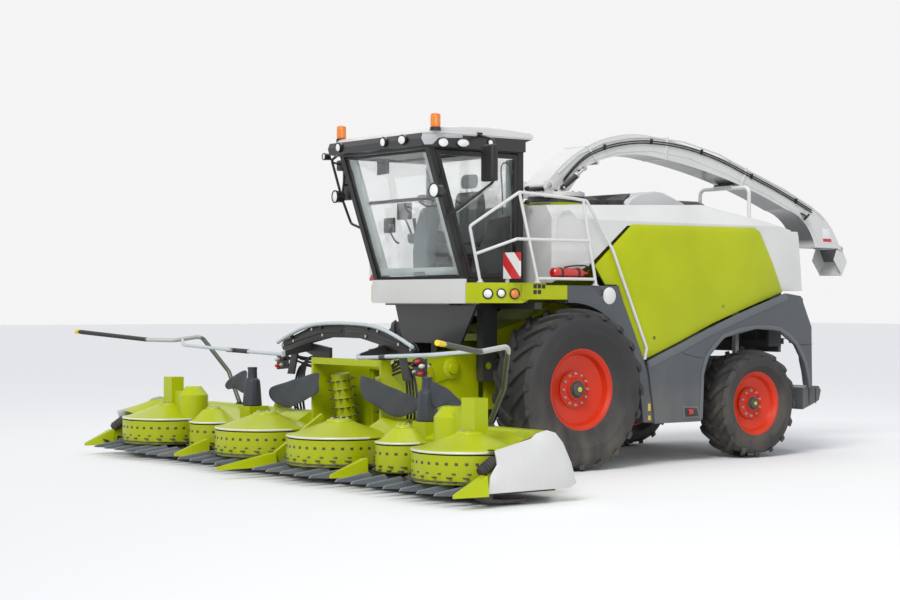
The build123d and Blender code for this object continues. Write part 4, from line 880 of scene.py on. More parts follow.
# Seals and trims round the windscreen, the pale inner linings of the pillars and the door's lower lining
for side, x_sign in both_sides:
    slanted(*span(x_sign, 0.752, 0.782), 2.10, 3.452, 0.016, f"screen_seal_{side}", "chassis", black_rubber)
    slanted(*span(x_sign, 0.640, 0.770), 2.11, 3.43, 0.064, f"pillar_lining_{side}", "chassis", pillar_trim,
            0.030)
    rear_lining = plate(oblong(-0.50, -0.442, 2.10, 3.40), "X", *span(x_sign, 0.700, 0.786), edge=0.012,
                        segments=3)
    complete(rear_lining, f"rear_lining_{side}", "chassis", trim_grey)
slanted(-0.78, 0.78, 3.432, 3.460, 0.016, "screen_seal_top", "chassis", black_rubber)
slanted(-0.78, 0.78, 2.094, 2.120, 0.016, "screen_seal_low", "chassis", black_rubber)
slanted(-0.76, 0.76, 2.13, 2.215, 0.050, "screen_foot_lining", "chassis", pillar_trim, 0.020)
rod(places(1, (-0.70, windscreen_y(2.95, 0.10), 2.95), (0.0, windscreen_y(2.955, 0.08), 2.955),
           (0.70, windscreen_y(2.96, 0.10), 2.96)), 0.021, "screen_crossbar", "chassis", satin_black)
lining = plate([(-1.085, 2.125), (-0.80, 2.73), (-0.52, 2.785), (-0.52, 2.125)], "X", 0.806, 0.814,
               edge=0.003)
complete(lining, "door_lining", "cab_door", satin_black)
rod(places(1, (0.802, -0.62, 2.80), (0.802, -0.62, 3.06), (0.802, -0.66, 3.36), (0.802, -0.50, 3.36),
           (0.802, -0.50, 3.06)), 0.007, "door_inner_frame", "cab_door", satin_black)
rod(places(1, (0.855, -0.62, 2.42), (0.895, -0.62, 2.44), (0.895, -0.62, 2.66), (0.855, -0.62, 2.68)),
    0.010, "door_pull", "cab_door", satin_black)
rod(places(1, (0.858, -1.290, 2.790), (0.868, -1.18, 2.862), (0.868, -0.98, 2.990), (0.862, -0.80, 3.100)),
    0.006, "door_stay", "cab_door", zinc_steel)

# Roof: pale corner pads on the lamp band, a joint line below the shell and a drip edge round it
for side, x_sign in both_sides:
    pad = plate([(-1.770, 3.610), (-1.240, 3.632), (-1.240, 3.588), (-1.560, 3.572), (-1.640, 3.500),
                 (-1.745, 3.492), (-1.785, 3.555)], "X", *span(x_sign, 0.887, 0.899), edge=0.004,
                segments=3)
    complete(pad, f"roof_corner_{side}", "chassis", grey_paint)
    drip = plate([(-1.775, 3.614), (-1.50, 3.626), (-0.90, 3.634), (-0.285, 3.630), (-0.285, 3.640),
                  (-0.90, 3.646), (-1.50, 3.636), (-1.775, 3.622)], "X", *span(x_sign, 0.884, 0.900),
                 edge=0.003)
    complete(drip, f"roof_drip_{side}", "chassis", white_paint)
crown = plate([(-1.700, 3.630), (-1.660, 3.668), (-1.500, 3.698), (-1.220, 3.722), (-0.900, 3.732),
               (-0.560, 3.722), (-0.360, 3.698), (-0.262, 3.660), (-0.290, 3.632), (-0.900, 3.640),
               (-1.500, 3.628)], "X", -0.874, 0.874, edge=0.030, segments=5)
complete(crown, "roof_crown", "chassis", white_paint)


def oval_lamp(centre, out, wide, tall, name, body, housing=0.014):
    """A work lamp: an oval bezel round a pale dished lens."""
    bezel = lathe([(-0.006, 0.0), (-0.006, 1.16), (housing, 1.16), (housing + 0.004, 1.06), (housing, 0.98),
                   (0.004, 0.98), (0.004, 0.0)], (0, 0, 0), (1, 0, 0), 36)
    lens = lathe([(0.004, 0.0), (0.004, 0.97), (0.010, 0.93), (0.016, 0.55), (0.019, 0.0)], (0, 0, 0),
                 (1, 0, 0), 36)
    turn = Vector(out).normalized().to_track_quat("X", "Z").to_matrix().to_4x4()
    for piece, part, finish in ((bezel, "bezel", satin_black), (lens, "lens", lamp_white)):
        piece.data.transform(Matrix.Translation(centre) @ turn @ Matrix.Diagonal((1, wide, tall, 1)))
        complete(piece, f"{name}_{part}", body, finish)


for index, (x, wide, tall) in enumerate(((-0.655, 0.046, 0.046), (0.220, 0.050, 0.046),
                                         (0.575, 0.068, 0.046))):
    oval_lamp(spot(x, -1.806, 3.560), (0, -1, -0.08), wide, tall, f"roof_lamp_{index + 1}", "chassis")
for side, x_sign in both_sides:
    oval_lamp(spot(x_sign * 0.895, -1.500, 3.528), (x_sign, -0.25, 0), 0.058, 0.047,
              f"side_lamp_front_{side}", "chassis")
    oval_lamp(spot(x_sign * 0.895, -1.235, 3.536), (x_sign, -0.15, 0), 0.074, 0.043,
              f"side_lamp_mid_{side}", "chassis")
    oval_lamp(spot(x_sign * 0.895, -0.855, 3.561), (x_sign, -0.15, 0), 0.036, 0.036,
              f"side_lamp_rear_{side}", "chassis")
    beacon_foot = spot(x_sign * 0.90, -1.605, 3.652)
    base = lathe([(0.0, 0.0), (0.0, 0.060), (0.030, 0.058), (0.036, 0.050), (0.060, 0.050), (0.062, 0.0)],
                 beacon_foot, (0, 0, 1), 32)
    complete(base, f"beacon_base_{side}", "chassis", satin_black)
    dome_profile = [(0.050, 0.0), (0.050, 0.054)]
    for ring in range(4):
        height = 0.066 + ring * 0.024
        dome_profile += [(height, 0.0555), (height + 0.012, 0.0535)]
    dome_profile += [(0.163, 0.049), (0.178, 0.034), (0.184, 0.015), (0.185, 0.0)]
    beacon = lathe(dome_profile, beacon_foot, (0, 0, 1), 36)
    complete(beacon, f"beacon_dome_{side}", "chassis", amber_lens)
oval_lamp(spot(0.960, -1.662, 3.010), (0.1, -1, 0), 0.070, 0.070, "pillar_lamp_left", "chassis")
oval_lamp(spot(-1.100, -1.552, 3.040), (-0.1, -1, 0), 0.064, 0.064, "pillar_lamp_right", "chassis")
oval_lamp(spot(-1.100, -1.702, 3.490), (-0.1, -1, 0), 0.036, 0.036, "mirror_lamp_right", "chassis")

# Mirrors: moulded housings with rounded corners over the frames, each with a glass on its rear face
mirror_glass = worn_material("mirror_glass", (0.62, 0.66, 0.68), 0.06, 0.03, 40.0, 0.00002, metallic=1.0)
for name, outline, y_low, y_high in (("mirror_left", oblong(1.098, 1.302, 3.115, 3.505), -1.160, -1.070),
                                     ("mirror_right", oblong(-1.203, -1.002, 3.003, 3.352), -1.397, -1.347),
                                     ("camera_box_right", oblong(-1.172, -1.038, 3.338, 3.462), -1.502,
                                      -1.388)):
    housing = plate(outline, "Y", y_low, y_high, edge=0.024, segments=4)
    complete(housing, name, "chassis", satin_black)
    if name.startswith("mirror"):
        (x_low, z_low), (x_high, z_high) = outline[0], outline[2]
        face = plate(oblong(x_low + 0.016, x_high - 0.016, z_low + 0.018, z_high - 0.018), "Y",
                     y_high - 0.004, y_high + 0.003, edge=0.002)
        complete(face, f"{name}_glass", "chassis", mirror_glass)
inner_mirror = plate([(-0.30, 3.24), (-0.08, 3.25), (-0.08, 3.40), (-0.30, 3.40)], "Y", -1.53, -1.51,
                     edge=0.008, segments=3)
complete(inner_mirror, "inner_mirror", "chassis", satin_black)
for index, (y, z) in enumerate(((-0.330, 3.085), (-0.335, 2.935))):
    knob = lathe([(-0.012, 0.0), (-0.012, 0.020), (0.010, 0.028), (0.030, 0.026), (0.038, 0.016),
                  (0.040, 0.0)], spot(0.862, y, z), (1, 0.3, 0), 20)
    complete(knob, f"cab_rear_knob_{index + 1}", "chassis", satin_black)

# Interior: pedestal, seat with crowned cushions, column with its wheel, console and a screen
pedestal = plate([(-0.86, 2.080), (-0.50, 2.080), (-0.54, 2.335), (-0.84, 2.335)], "X", -0.20, 0.24,
                 edge=0.02, segments=3)
complete(pedestal, "seat_pedestal", "chassis", satin_black)
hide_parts("cab_interior")


def cushion(name, outline, x_low, x_high, crown):
    """A crowned cushion from its side outline, softened by subdivision."""
    piece = plate(outline, "X", x_low, x_high, edge=0)
    pick(piece)
    open_mesh()
    bpy.ops.mesh.inset(thickness=crown, depth=0.0, use_individual=True)
    bpy.ops.object.mode_set(mode="OBJECT")
    soft = piece.modifiers.new("soft", "SUBSURF")
    soft.levels = 2
    soft.render_levels = 2
    complete(piece, name, "chassis", seat_cloth, 60)


cushion("seat_cushion", [(-0.96, 2.36), (-0.46, 2.34), (-0.46, 2.45), (-0.70, 2.47), (-0.95, 2.49)], -0.25,
        0.29, 0.030)
cushion("seat_back", [(-0.57, 2.46), (-0.46, 2.44), (-0.41, 2.80), (-0.43, 3.08), (-0.51, 3.08),
                      (-0.53, 2.78)], -0.22, 0.26, 0.030)
cushion("seat_headrest", [(-0.53, 3.12), (-0.44, 3.12), (-0.43, 3.27), (-0.51, 3.28)], -0.10, 0.14, 0.022)
for index, x in enumerate((-0.03, 0.07)):
    rod(places(1, (x, -0.475, 3.04), (x, -0.485, 3.16)), 0.008, f"headrest_bar_{index + 1}", "chassis",
        zinc_steel)
console = plate([(-1.02, 2.50), (-0.50, 2.46), (-0.50, 2.62), (-0.72, 2.66), (-1.04, 2.60)], "X", -0.42,
                -0.28, edge=0.02, segments=3)
complete(console, "arm_console", "chassis", trim_grey)
console_foot = plate([(-0.92, 2.080), (-0.52, 2.080), (-0.56, 2.47), (-0.86, 2.49)], "X", -0.39, -0.31,
                     edge=0.012)
complete(console_foot, "console_foot", "chassis", satin_black)
rod(places(1, (-0.35, -0.95, 2.62), (-0.35, -0.97, 2.70), (-0.34, -0.99, 2.78)), 0.020, "drive_lever",
    "chassis", satin_black)
column = plate([(-1.16, 2.080), (-1.02, 2.080), (-1.02, 2.40), (-0.99, 2.62), (-0.93, 2.82), (-0.96, 2.90),
                (-1.06, 2.88), (-1.13, 2.68), (-1.17, 2.40)], "X", -0.13, 0.13, edge=0.03, segments=4)
complete(column, "steering_column", "chassis", trim_grey)
pedals = plate([(-1.16, 2.16), (-1.10, 2.22), (-1.09, 2.21), (-1.15, 2.15)], "X", 0.17, 0.27, edge=0.004)
complete(pedals, "foot_pedal", "chassis", satin_black)
hub_place = spot(0.0, -0.965, 2.93)
hub_axis = Vector((0, 0.42, 0.91))
wheel = lathe([(-0.012, 0.186), (-0.004, 0.198), (0.008, 0.202), (0.018, 0.194), (0.020, 0.182),
               (0.010, 0.172), (-0.004, 0.174)], hub_place, hub_axis, 48)
complete(wheel, "steering_wheel_rim", "chassis", satin_black, 60)
hub = lathe([(-0.05, 0.0), (-0.05, 0.030), (0.0, 0.050), (0.014, 0.044), (0.018, 0.0)], hub_place, hub_axis,
            28)
complete(hub, "steering_wheel_hub", "chassis", satin_black)
across = Vector((1, 0, 0))
upward = hub_axis.normalized().cross(across)
for index, angle in enumerate((90, 210, 330)):
    arm = across * cos(radians(angle)) + upward * sin(radians(angle))
    rod([hub_place + arm * 0.03, hub_place + arm * 0.10 + Vector((0, 0, 0.003)), hub_place + arm * 0.184],
        0.010, f"steering_spoke_{index + 1}", "chassis", satin_black)
for name, centre, wide, tall in (("screen_console", (-0.40, -1.08, 2.86), 0.13, 0.095),
                                 ("screen_corner", (-0.52, -1.20, 2.70), 0.10, 0.085)):
    x, y, z = centre
    screen = plate(oblong(x - wide, x + wide, z - tall, z + tall), "Y", y - 0.016, y + 0.016, edge=0.010,
                   segments=3)
    complete(screen, name, "chassis", satin_black)
    rod(places(1, (x, y + 0.01, z - tall + 0.01), (x + 0.02, y + 0.06, z - tall - 0.10),
               (x + 0.05, y + 0.10, 2.50)), 0.011, f"{name}_stalk", "chassis", satin_black)
lining_back = plate(oblong(-0.78, 0.78, 2.085, 2.505), "Y", -0.445, -0.430, edge=0.006)
complete(lining_back, "rear_wall_lining", "chassis", satin_black)
mat = plate(oblong(-0.77, 0.77, -1.16, -0.45), "Z", 2.081, 2.090, edge=0.003)
complete(mat, "floor_mat", "chassis", black_rubber)
corner_piece = plate([(-1.165, 1.84), (-1.165, 2.03), (-1.12, 2.05), (-0.99, 1.99), (-1.03, 1.84)], "X",
                     -0.938, -0.914, edge=0.010, segments=3)
complete(corner_piece, "front_corner_right", "chassis", lime_paint)

# Spout
# A bent channel of white-painted sheet steel on a turning ring, with bolted collars, a seam along each
# side and a guide flap at its mouth. The lift cylinder, the hoses and the lamp are fixed along it.


def spout_colours(tree, place):
    """White outer faces, dark grey on the faces that look down."""
    facing = axes(tree, add_node(tree, "ShaderNodeNewGeometry").outputs["Normal"])
    under = reshape(tree, facing["Z"], -0.35, -0.45)
    return blend_colour(tree, under, (*white, 1), (0.10, 0.105, 0.11, 1))


spout_paint = worn_material("spout_paint", white_base, 0.30, 0.05, 40.0, 0.00015, coat=0.4,
                            paint=spout_colours)
dress("spout", spout_paint)
dress("spout_turret", white_paint)
dress("spout_flap", spout_paint)
dress("spout_lift_barrel", black_paint)
dress("spout_lift_rod", zinc_steel)
crest = [(0.700, 3.330), (1.000, 3.560), (1.400, 3.725), (1.800, 3.805), (2.154, 3.830), (2.700, 3.800),
         (3.300, 3.680), (3.881, 3.482), (4.500, 3.280), (5.000, 3.075), (5.230, 2.930)]
seam = [(1.170, 3.520), (1.600, 3.640), (2.154, 3.690), (2.800, 3.630), (3.524, 3.440), (4.200, 3.225),
        (4.700, 3.030), (5.000, 2.840), (5.170, 2.600)]
band(seam, 0.020, 0.188, 0.007, "spout_seam", white_paint, 0.003, "spout")
band([(y, z - 0.002) for y, z in crest], -0.022, 0.188, 0.010, "spout_edge", white_paint, 0.003, "spout")


def collar(low_point, high_point, name, wide=0.030):
    """A bolted collar round the channel between a point on its floor and one on its roof."""
    low, high = Vector(low_point), Vector(high_point)
    along = Vector(((high - low).y, -(high - low).x)).normalized() * wide / 2
    pieces = []
    for x_low, x_high in ((0.186, 0.204), (-0.204, -0.186)):
        pieces.append(plate([tuple(low - along), tuple(low + along), tuple(high + along),
                             tuple(high - along)], "X", x_low, x_high, edge=0.003))
    rise = (high - low).normalized() * 0.010
    for end in (low - rise, high + rise):
        pieces.append(plate([tuple(end - rise - along), tuple(end - rise + along),
                             tuple(end + rise + along), tuple(end + rise - along)], "X", -0.204, 0.204,
                            edge=0.003))
    for piece in pieces:
        harden(piece)
    complete(join(pieces), name, "spout", white_paint)


collar((1.300, 3.490), (1.140, 3.665), "spout_collar_1")
collar((2.400, 3.597), (2.420, 3.835), "spout_collar_2")
collar((3.700, 3.300), (3.790, 3.525), "spout_collar_3")
for index, (reach, x) in enumerate(((0.035, 0.206), (0.062, 0.204), (0.035, -0.206))):
    rod([spot(x, 0.76, 3.300 - reach)] + [spot(x, y, z - reach) for y, z in crest[1:-1]], 0.008,
        f"spout_hose_{index + 1}", "spout", black_rubber)
for index, (y, z) in enumerate(((1.40, 3.678), (2.154, 3.785), (3.00, 3.702), (3.881, 3.438),
                                (4.70, 3.155))):
    clip = plate(oblong(y - 0.012, y + 0.012, z - 0.036, z + 0.030), "X", 0.188, 0.222, edge=0.004)
    complete(clip, f"spout_hose_clip_{index + 1}", "spout", satin_black)
work_lamp = spot(0.235, 4.86, 2.955)
oval_lamp(work_lamp, (0.5, 0.6, -0.7), 0.046, 0.046, "spout_lamp", "spout")
rod([spot(0.188, 4.80, 3.00), spot(0.215, 4.83, 2.985), tuple(work_lamp)], 0.010, "spout_lamp_bracket",
    "spout", satin_black)
marker = worn_material("marker_stripes", (0.7, 0.1, 0.1), 0.30, 0.05, 60.0, 0.0001, coat=0.4,
                       paint=board_stripes)
for side, x_sign in both_sides:
    tag = plate([(5.235, 2.640), (5.395, 2.640), (5.345, 2.810), (5.215, 2.810)], "X",
                *span(x_sign, 0.190, 0.193), edge=0.001)
    complete(tag, f"spout_marker_{side}", "spout", marker)
    cheek = plate([(0.440, 3.150), (0.640, 3.150), (0.590, 3.235), (0.520, 3.262), (0.450, 3.235)], "X",
                  *span(x_sign, 0.220, 0.232), edge=0.003)
    complete(cheek, f"turret_cheek_{side}", "turret", white_paint)
    pin = lathe([(0.0, 0.0), (0.0, 0.034), (0.010, 0.034), (0.014, 0.028), (0.014, 0.0)],
                spot(x_sign * 0.231, 0.520, 3.190), (x_sign, 0, 0), 24)
    complete(pin, f"spout_pin_{side}", "turret", zinc_steel)
    flap_pin = lathe([(0.0, 0.0), (0.0, 0.018), (0.008, 0.018), (0.011, 0.012), (0.011, 0.0)],
                     spot(x_sign * 0.205, 5.580, 2.553), (x_sign, 0, 0), 18)
    complete(flap_pin, f"flap_pin_{side}", "flap", zinc_steel)
turn_centre = spot(0, 0.830, 0)
ring = lathe([(3.000, 0.334), (3.000, 0.352), (3.020, 0.352), (3.026, 0.344), (3.060, 0.344),
              (3.070, 0.334)], turn_centre, (0, 0, 1), 64)
complete(ring, "turning_ring", "turret", black_paint)
bolt = lathe([(3.119, 0.0), (3.119, 0.014), (3.132, 0.014), (3.135, 0.010), (3.135, 0.0)],
             spot(0, 0.540, 0), (0, 0, 1), 6)
complete(ring_of(bolt, 14, turn_centre, (0, 0, 1), radians(13)), "ring_bolts", "turret", zinc_steel)
gland_axis = Vector((0, 0.33, 0.235)).normalized()
gland = lathe([(0.235, 0.017), (0.235, 0.038), (0.262, 0.038), (0.270, 0.030), (0.270, 0.017)],
              spot(0.290, 0.680, 3.165), gland_axis, 28)
complete(gland, "lift_gland", "lift_barrel", zinc_steel)
arch_pad = plate([(3.560, 3.309), (3.640, 3.309), (3.640, 3.324), (3.560, 3.328)], "X", -0.150, 0.150,
                 edge=0.004)
complete(arch_pad, "arch_pad", "chassis", black_rubber)
silencer = lathe([(0.0, 0.0), (0.0, 0.060), (0.02, 0.082), (0.36, 0.082), (0.39, 0.062), (0.46, 0.058),
                  (0.46, 0.050), (0.30, 0.048), (0.30, 0.0)], spot(-0.42, 3.16, 3.050), (0, 1, 0), 32)
complete(silencer, "exhaust_end", "chassis", cast_grey)
bottle = lathe([(0.0, 0.0), (0.0, 0.040), (0.015, 0.055), (0.40, 0.055), (0.44, 0.040), (0.46, 0.020),
                (0.50, 0.018), (0.50, 0.0)], spot(1.215, -0.26, 2.155), (0, 1, 0), 28)
complete(bottle, "extinguisher", "chassis", red_gloss)
for index, y in enumerate((-0.16, 0.08)):
    strap = lathe([(0.0, 0.056), (0.0, 0.060), (0.026, 0.060), (0.026, 0.056)], spot(1.215, y, 2.155),
                  (0, 1, 0), 28)
    complete(strap, f"extinguisher_strap_{index + 1}", "chassis", satin_black)
rod(places(1, (1.215, 0.24, 2.160), (1.235, 0.29, 2.200), (1.240, 0.20, 2.245), (1.238, 0.00, 2.235),
           (1.236, -0.10, 2.215)), 0.009, "extinguisher_hose", "chassis", black_rubber)

# Maize header
# Lime-painted sheet steel over cast gearboxes: low cones with rolled rims cover the rotors, each rim
# painted pale along its front half as a highlight. The drums carry two rows of teeth, the upper row's
# shadows painted as dark marks, above broad slate-grey fingers. Rubber boots cover the drive shafts.


pale_metal = (0.50, 0.56, 0.60)
# Dark grey of the teeth, also used for the marks painted as shadows of the upper teeth.
tooth_and_shade_grey = (0.060, 0.062, 0.060)
slate = (0.105, 0.122, 0.140)


def from_axis(tree, place, centre, tilt=0.0):
    """Distance from an upright or tilted axis on either side of the machine."""
    parts = axes(tree, place)
    folded = add_node(tree, "ShaderNodeCombineXYZ")
    tree.links.new(combine(tree, "ABSOLUTE", parts["X"]), folded.inputs["X"])
    tree.links.new(parts["Y"], folded.inputs["Y"])
    tree.links.new(parts["Z"], folded.inputs["Z"])
    shifted = add_node(tree, "ShaderNodeVectorMath", operation="SUBTRACT")
    shifted.inputs[1].default_value = centre
    tree.links.new(folded.outputs[0], shifted.inputs[0])
    turned = add_node(tree, "ShaderNodeMapping")
    turned.inputs["Rotation"].default_value = (tilt, 0, 0)
    tree.links.new(shifted.outputs[0], turned.inputs["Vector"])
    flat = add_node(tree, "ShaderNodeVectorMath", operation="MULTIPLY")
    flat.inputs[1].default_value = (1, 1, 0)
    tree.links.new(turned.outputs[0], flat.inputs[0])
    length = add_node(tree, "ShaderNodeVectorMath", operation="LENGTH")
    tree.links.new(flat.outputs[0], length.inputs[0])
    return length.outputs["Value"]


def toothed_paint(name, centre, drum_radius, tilt=0.0):
    """Lime drum with bare dark teeth beyond its wall."""
    def colours(tree, place):
        """Lime within the drum's radius, dark steel beyond it."""
        beyond = reshape(tree, from_axis(tree, place, centre, tilt), drum_radius + 0.006,
                         drum_radius + 0.014)
        return blend_colour(tree, beyond, (*lime, 1), (*tooth_and_shade_grey, 1))
    return worn_material(name, lime, 0.34, 0.20, 60.0, 0.0003, paint=colours)


def header_colours(tree, place):
    """Lime sheet, and a dark pan below it."""
    pan = combine(tree, "SUBTRACT", 1.0, above(tree, place, 0.154))
    behind = above(tree, place, -3.046 + axle_y, "Y")
    parts = axes(tree, place)
    outer_end = reshape(tree, combine(tree, "ABSOLUTE", parts["X"]), 3.552, 3.556)
    low_part = combine(tree, "SUBTRACT", 1.0, above(tree, place, 0.215))
    low_end = combine(tree, "MULTIPLY", outer_end, low_part)
    dark = combine(tree, "MULTIPLY", combine(tree, "MAXIMUM", pan, low_end), behind)
    return blend_colour(tree, dark, (0.43, 0.50, 0.003, 1), (0.030, 0.032, 0.034, 1))


def finger_colours(tree, place):
    """Slate fingers and a black skid at the outer end."""
    parts = axes(tree, place)
    outer_end = reshape(tree, combine(tree, "ABSOLUTE", parts["X"]), 3.534, 3.538)
    return blend_colour(tree, outer_end, (*slate, 1), (0.014, 0.014, 0.015, 1))


def press_colours(tree, place):
    """The crop press: dark post, silver middle, black arm with a yellow end, and a pale inner tube."""
    parts = axes(tree, place)
    across = combine(tree, "ABSOLUTE", parts["X"])
    tube_part = combine(tree, "MULTIPLY", reshape(tree, parts["Y"], -2.40 + axle_y, -2.41 + axle_y),
                        reshape(tree, across, 2.90, 2.89))
    colour = blend_colour(tree, reshape(tree, across, 2.925, 2.935), (0.060, 0.070, 0.045, 1),
                          (0.46, 0.47, 0.46, 1))
    colour = blend_colour(tree, tube_part, colour, (*pale_metal, 1))
    colour = blend_colour(tree, reshape(tree, across, 3.235, 3.245), colour, (*paint_black, 1))
    return blend_colour(tree, reshape(tree, across, 3.585, 3.592), colour, (0.82, 0.60, 0.02, 1))


def centre_press_colours(tree, place):
    """Black linkage plates and the pale tubes before them."""
    parts = axes(tree, place)
    ahead = reshape(tree, parts["Y"], -2.452 + axle_y, -2.458 + axle_y)
    return blend_colour(tree, ahead, (*paint_black, 1), (*pale_metal, 1))


header_lime = worn_material("header_lime", lime, 0.32, 0.03, 40.0, 0.0002, coat=0.12, shine=0.25,
                            paint=header_colours)
finger_slate = worn_material("finger_slate", slate, 0.46, 0.25, 160.0, 0.0003, paint=finger_colours)
press_tube = worn_material("press_tube", (0.3, 0.3, 0.3), 0.34, 0.10, 80.0, 0.0002, coat=0.2,
                           paint=press_colours)
centre_press = worn_material("centre_press", (0.1, 0.1, 0.1), 0.40, 0.10, 80.0, 0.0002,
                             paint=centre_press_colours)
guard_slate = worn_material("guard_slate", (0.030, 0.036, 0.050), 0.42, 0.08, 30.0, 0.0012)
# Light grey for the finger crests: a painted highlight.
crest_highlight = worn_material("crest_highlight", (0.30, 0.33, 0.36), 0.40, 0.10, 200.0, 0.0003, metallic=0.3)
# Pale cream for the front half of the cone rims: a painted highlight.
rim_highlight_paint = worn_material("rim_highlight_paint", (0.70, 0.70, 0.60), 0.28, 0.10, 60.0, 0.0002, coat=0.4)
pale_tube = worn_material("pale_tube", pale_metal, 0.32, 0.08, 80.0, 0.0002, coat=0.3)
# A darker copy of the lime: painted shade on the drum bands under the cones' rims.
shaded_band_lime = worn_material("shaded_band_lime", (0.38, 0.44, 0.002), 0.36, 0.03, 60.0, 0.0003, coat=0.1, shine=0.25)
# Dark steel for the teeth, and for the ring of marks painted as the upper teeth's shadows.
tooth_steel_and_shade = worn_material("tooth_steel_and_shade", tooth_and_shade_grey, 0.45, 0.10, 120.0, 0.0003, metallic=0.4)
rotor_y = -2.70

# Each rotor's node, distance from the middle, drum radius, rim radius and what carries it
rotors = (("rotor_centre", 0.735, 0.530, 0.535, "header"), ("rotor_small", 1.870, 0.240, 0.265, "wing"),
          ("rotor_outer", 2.935, 0.530, 0.535, "wing"))
for node, x, drum, rim_r, carrier in rotors:
    finish = toothed_paint(f"{node}_paint", tuple(spot(x, rotor_y, 0)), drum)
    for side in ("left", "right"):
        dress(f"{node}_{side}", finish)
drum_paint = toothed_paint("feed_drum_paint", tuple(spot(0.430, -1.800, 0.330)), 0.105, radians(-10))
for side in ("left", "right"):
    dress(f"feed_drum_{side}", drum_paint)
    dress(f"wing_{side}", header_lime)
    dress(f"wing_fingers_{side}", finger_slate)
    dress(f"crop_press_arm_{side}", press_tube)
dress("header_centre", header_lime)
dress("centre_fingers", finger_slate)
dress("crop_press_centre", centre_press)
dress("feeder_housing", lime_paint)


def carrier_of(name, side):
    """The body that carries a piece of the header: the centre itself, or one wing."""
    return name if name == "header" else f"{name}_{side}"


# The six cones: a pressed sheet over each rotor with a rolled rim, painted pale along its front half as a
# highlight, and a bolted cap; under it the rotor's own band in a darker lime as painted shade, with a ring
# of dark marks painted as the upper teeth's shadows, and the lower row of cutting teeth
rim_z = 0.462
for node, x, drum, rim_r, carrier in rotors:
    cap_r, shadow_mark_count = (0.135, 36) if rim_r > 0.4 else (0.085, 18)
    tooth_count = shadow_mark_count // 2 + 4
    for side, x_sign in both_sides:
        body = carrier_of(carrier, side)
        centre = spot(x_sign * x, rotor_y, 0)
        cone = lathe([(rim_z - 0.010, rim_r - 0.004), (rim_z - 0.010, rim_r + 0.008),
                      (rim_z + 0.004, rim_r + 0.012), (rim_z + 0.012, rim_r + 0.004),
                      (rim_z + 0.030, rim_r * 0.86), (0.592, cap_r + 0.045), (0.606, cap_r + 0.020),
                      (0.606, 0.0), (0.590, 0.0), (0.578, cap_r + 0.040), (rim_z + 0.014, rim_r * 0.86)],
                     centre, (0, 0, 1), 72)
        complete(cone, f"{node}_cone_{side}", body, header_lime)
        # Pale bead round the front half of the rim: a painted highlight.
        highlight_arc = [centre + Vector(((rim_r + 0.008) * cos(radians(a)), (rim_r + 0.008) * sin(radians(a)),
                                rim_z + 0.002)) for a in range(-180, 1, 12)]
        rod(highlight_arc, 0.0115, f"{node}_rim_{side}", body, rim_highlight_paint)
        cap = lathe([(0.604, 0.0), (0.604, cap_r + 0.004), (0.614, cap_r), (0.624, cap_r * 0.94),
                     (0.631, cap_r * 0.82), (0.635, 0.0)], centre, (0, 0, 1), 40)
        complete(cap, f"{node}_crown_{side}", body, header_lime)
        bolt = lathe([(0.630, 0.0), (0.630, 0.012), (0.642, 0.012), (0.645, 0.008), (0.645, 0.0)],
                     centre + Vector((cap_r * 0.66, 0, 0)), (0, 0, 1), 6)
        complete(ring_of(bolt, 6, centre, (0, 0, 1), 0.3), f"{node}_crown_bolts_{side}", body, zinc_steel)

        turning = f"{node}_{side}"
        wall = rim_r + 0.003
        # The band is in the darker lime, as painted shade under the cone's rim.
        drum_band = lathe([(0.186, wall), (0.186, wall + 0.004), (0.190, wall + 0.007),
                           (0.436, wall + 0.007), (0.440, wall + 0.004), (0.440, wall)], centre, (0, 0, 1),
                          96)
        complete(drum_band, f"{node}_band_{side}", turning, shaded_band_lime)
        mid, wall_y = x_sign * x, rotor_y - wall
        # A ring of dark marks at mid-height of the band: painted shadows of the upper teeth.
        shadow_mark = plate([(mid - 0.016, wall_y - 0.011), (mid + 0.012, wall_y - 0.011),
                       (mid + 0.018, wall_y - 0.002), (mid - 0.018, wall_y - 0.002)],
                      "Z", 0.352, 0.378, edge=0.002, segments=1)
        harden(shadow_mark)
        complete(ring_of(shadow_mark, shadow_mark_count, centre, (0, 0, 1)), f"{node}_tooth_shadows_{side}", turning,
                 tooth_steel_and_shade)
        tooth = plate([(mid - 0.034, wall_y - 0.004), (mid + 0.020, wall_y - 0.040),
                       (mid + 0.034, wall_y - 0.036), (mid + 0.030, wall_y - 0.004)],
                      "Z", 0.236, 0.246, edge=0.001, segments=1)
        harden(tooth)
        complete(ring_of(tooth, tooth_count, centre, (0, 0, 1)), f"{node}_teeth_{side}", turning,
                 tooth_steel_and_shade)


def skin(rows, thickness, name, body, material, levels=2):
    """A sheet drawn through rows of points, thickened and rounded by subdivision."""
    begin()
    bpy.ops.mesh.primitive_grid_add(x_subdivisions=len(rows[0]) - 1, y_subdivisions=len(rows) - 1, size=1)
    piece = bpy.context.object
    for corner, point in zip(piece.data.vertices, [point for row in rows for point in row]):
        corner.co = point
    thick = piece.modifiers.new("sheet", "SOLIDIFY")
    thick.thickness = thickness
    thick.offset = 0
    soft = piece.modifiers.new("soft", "SUBSURF")
    soft.levels = levels
    soft.render_levels = levels
    return complete(piece, name, body, material, 50)


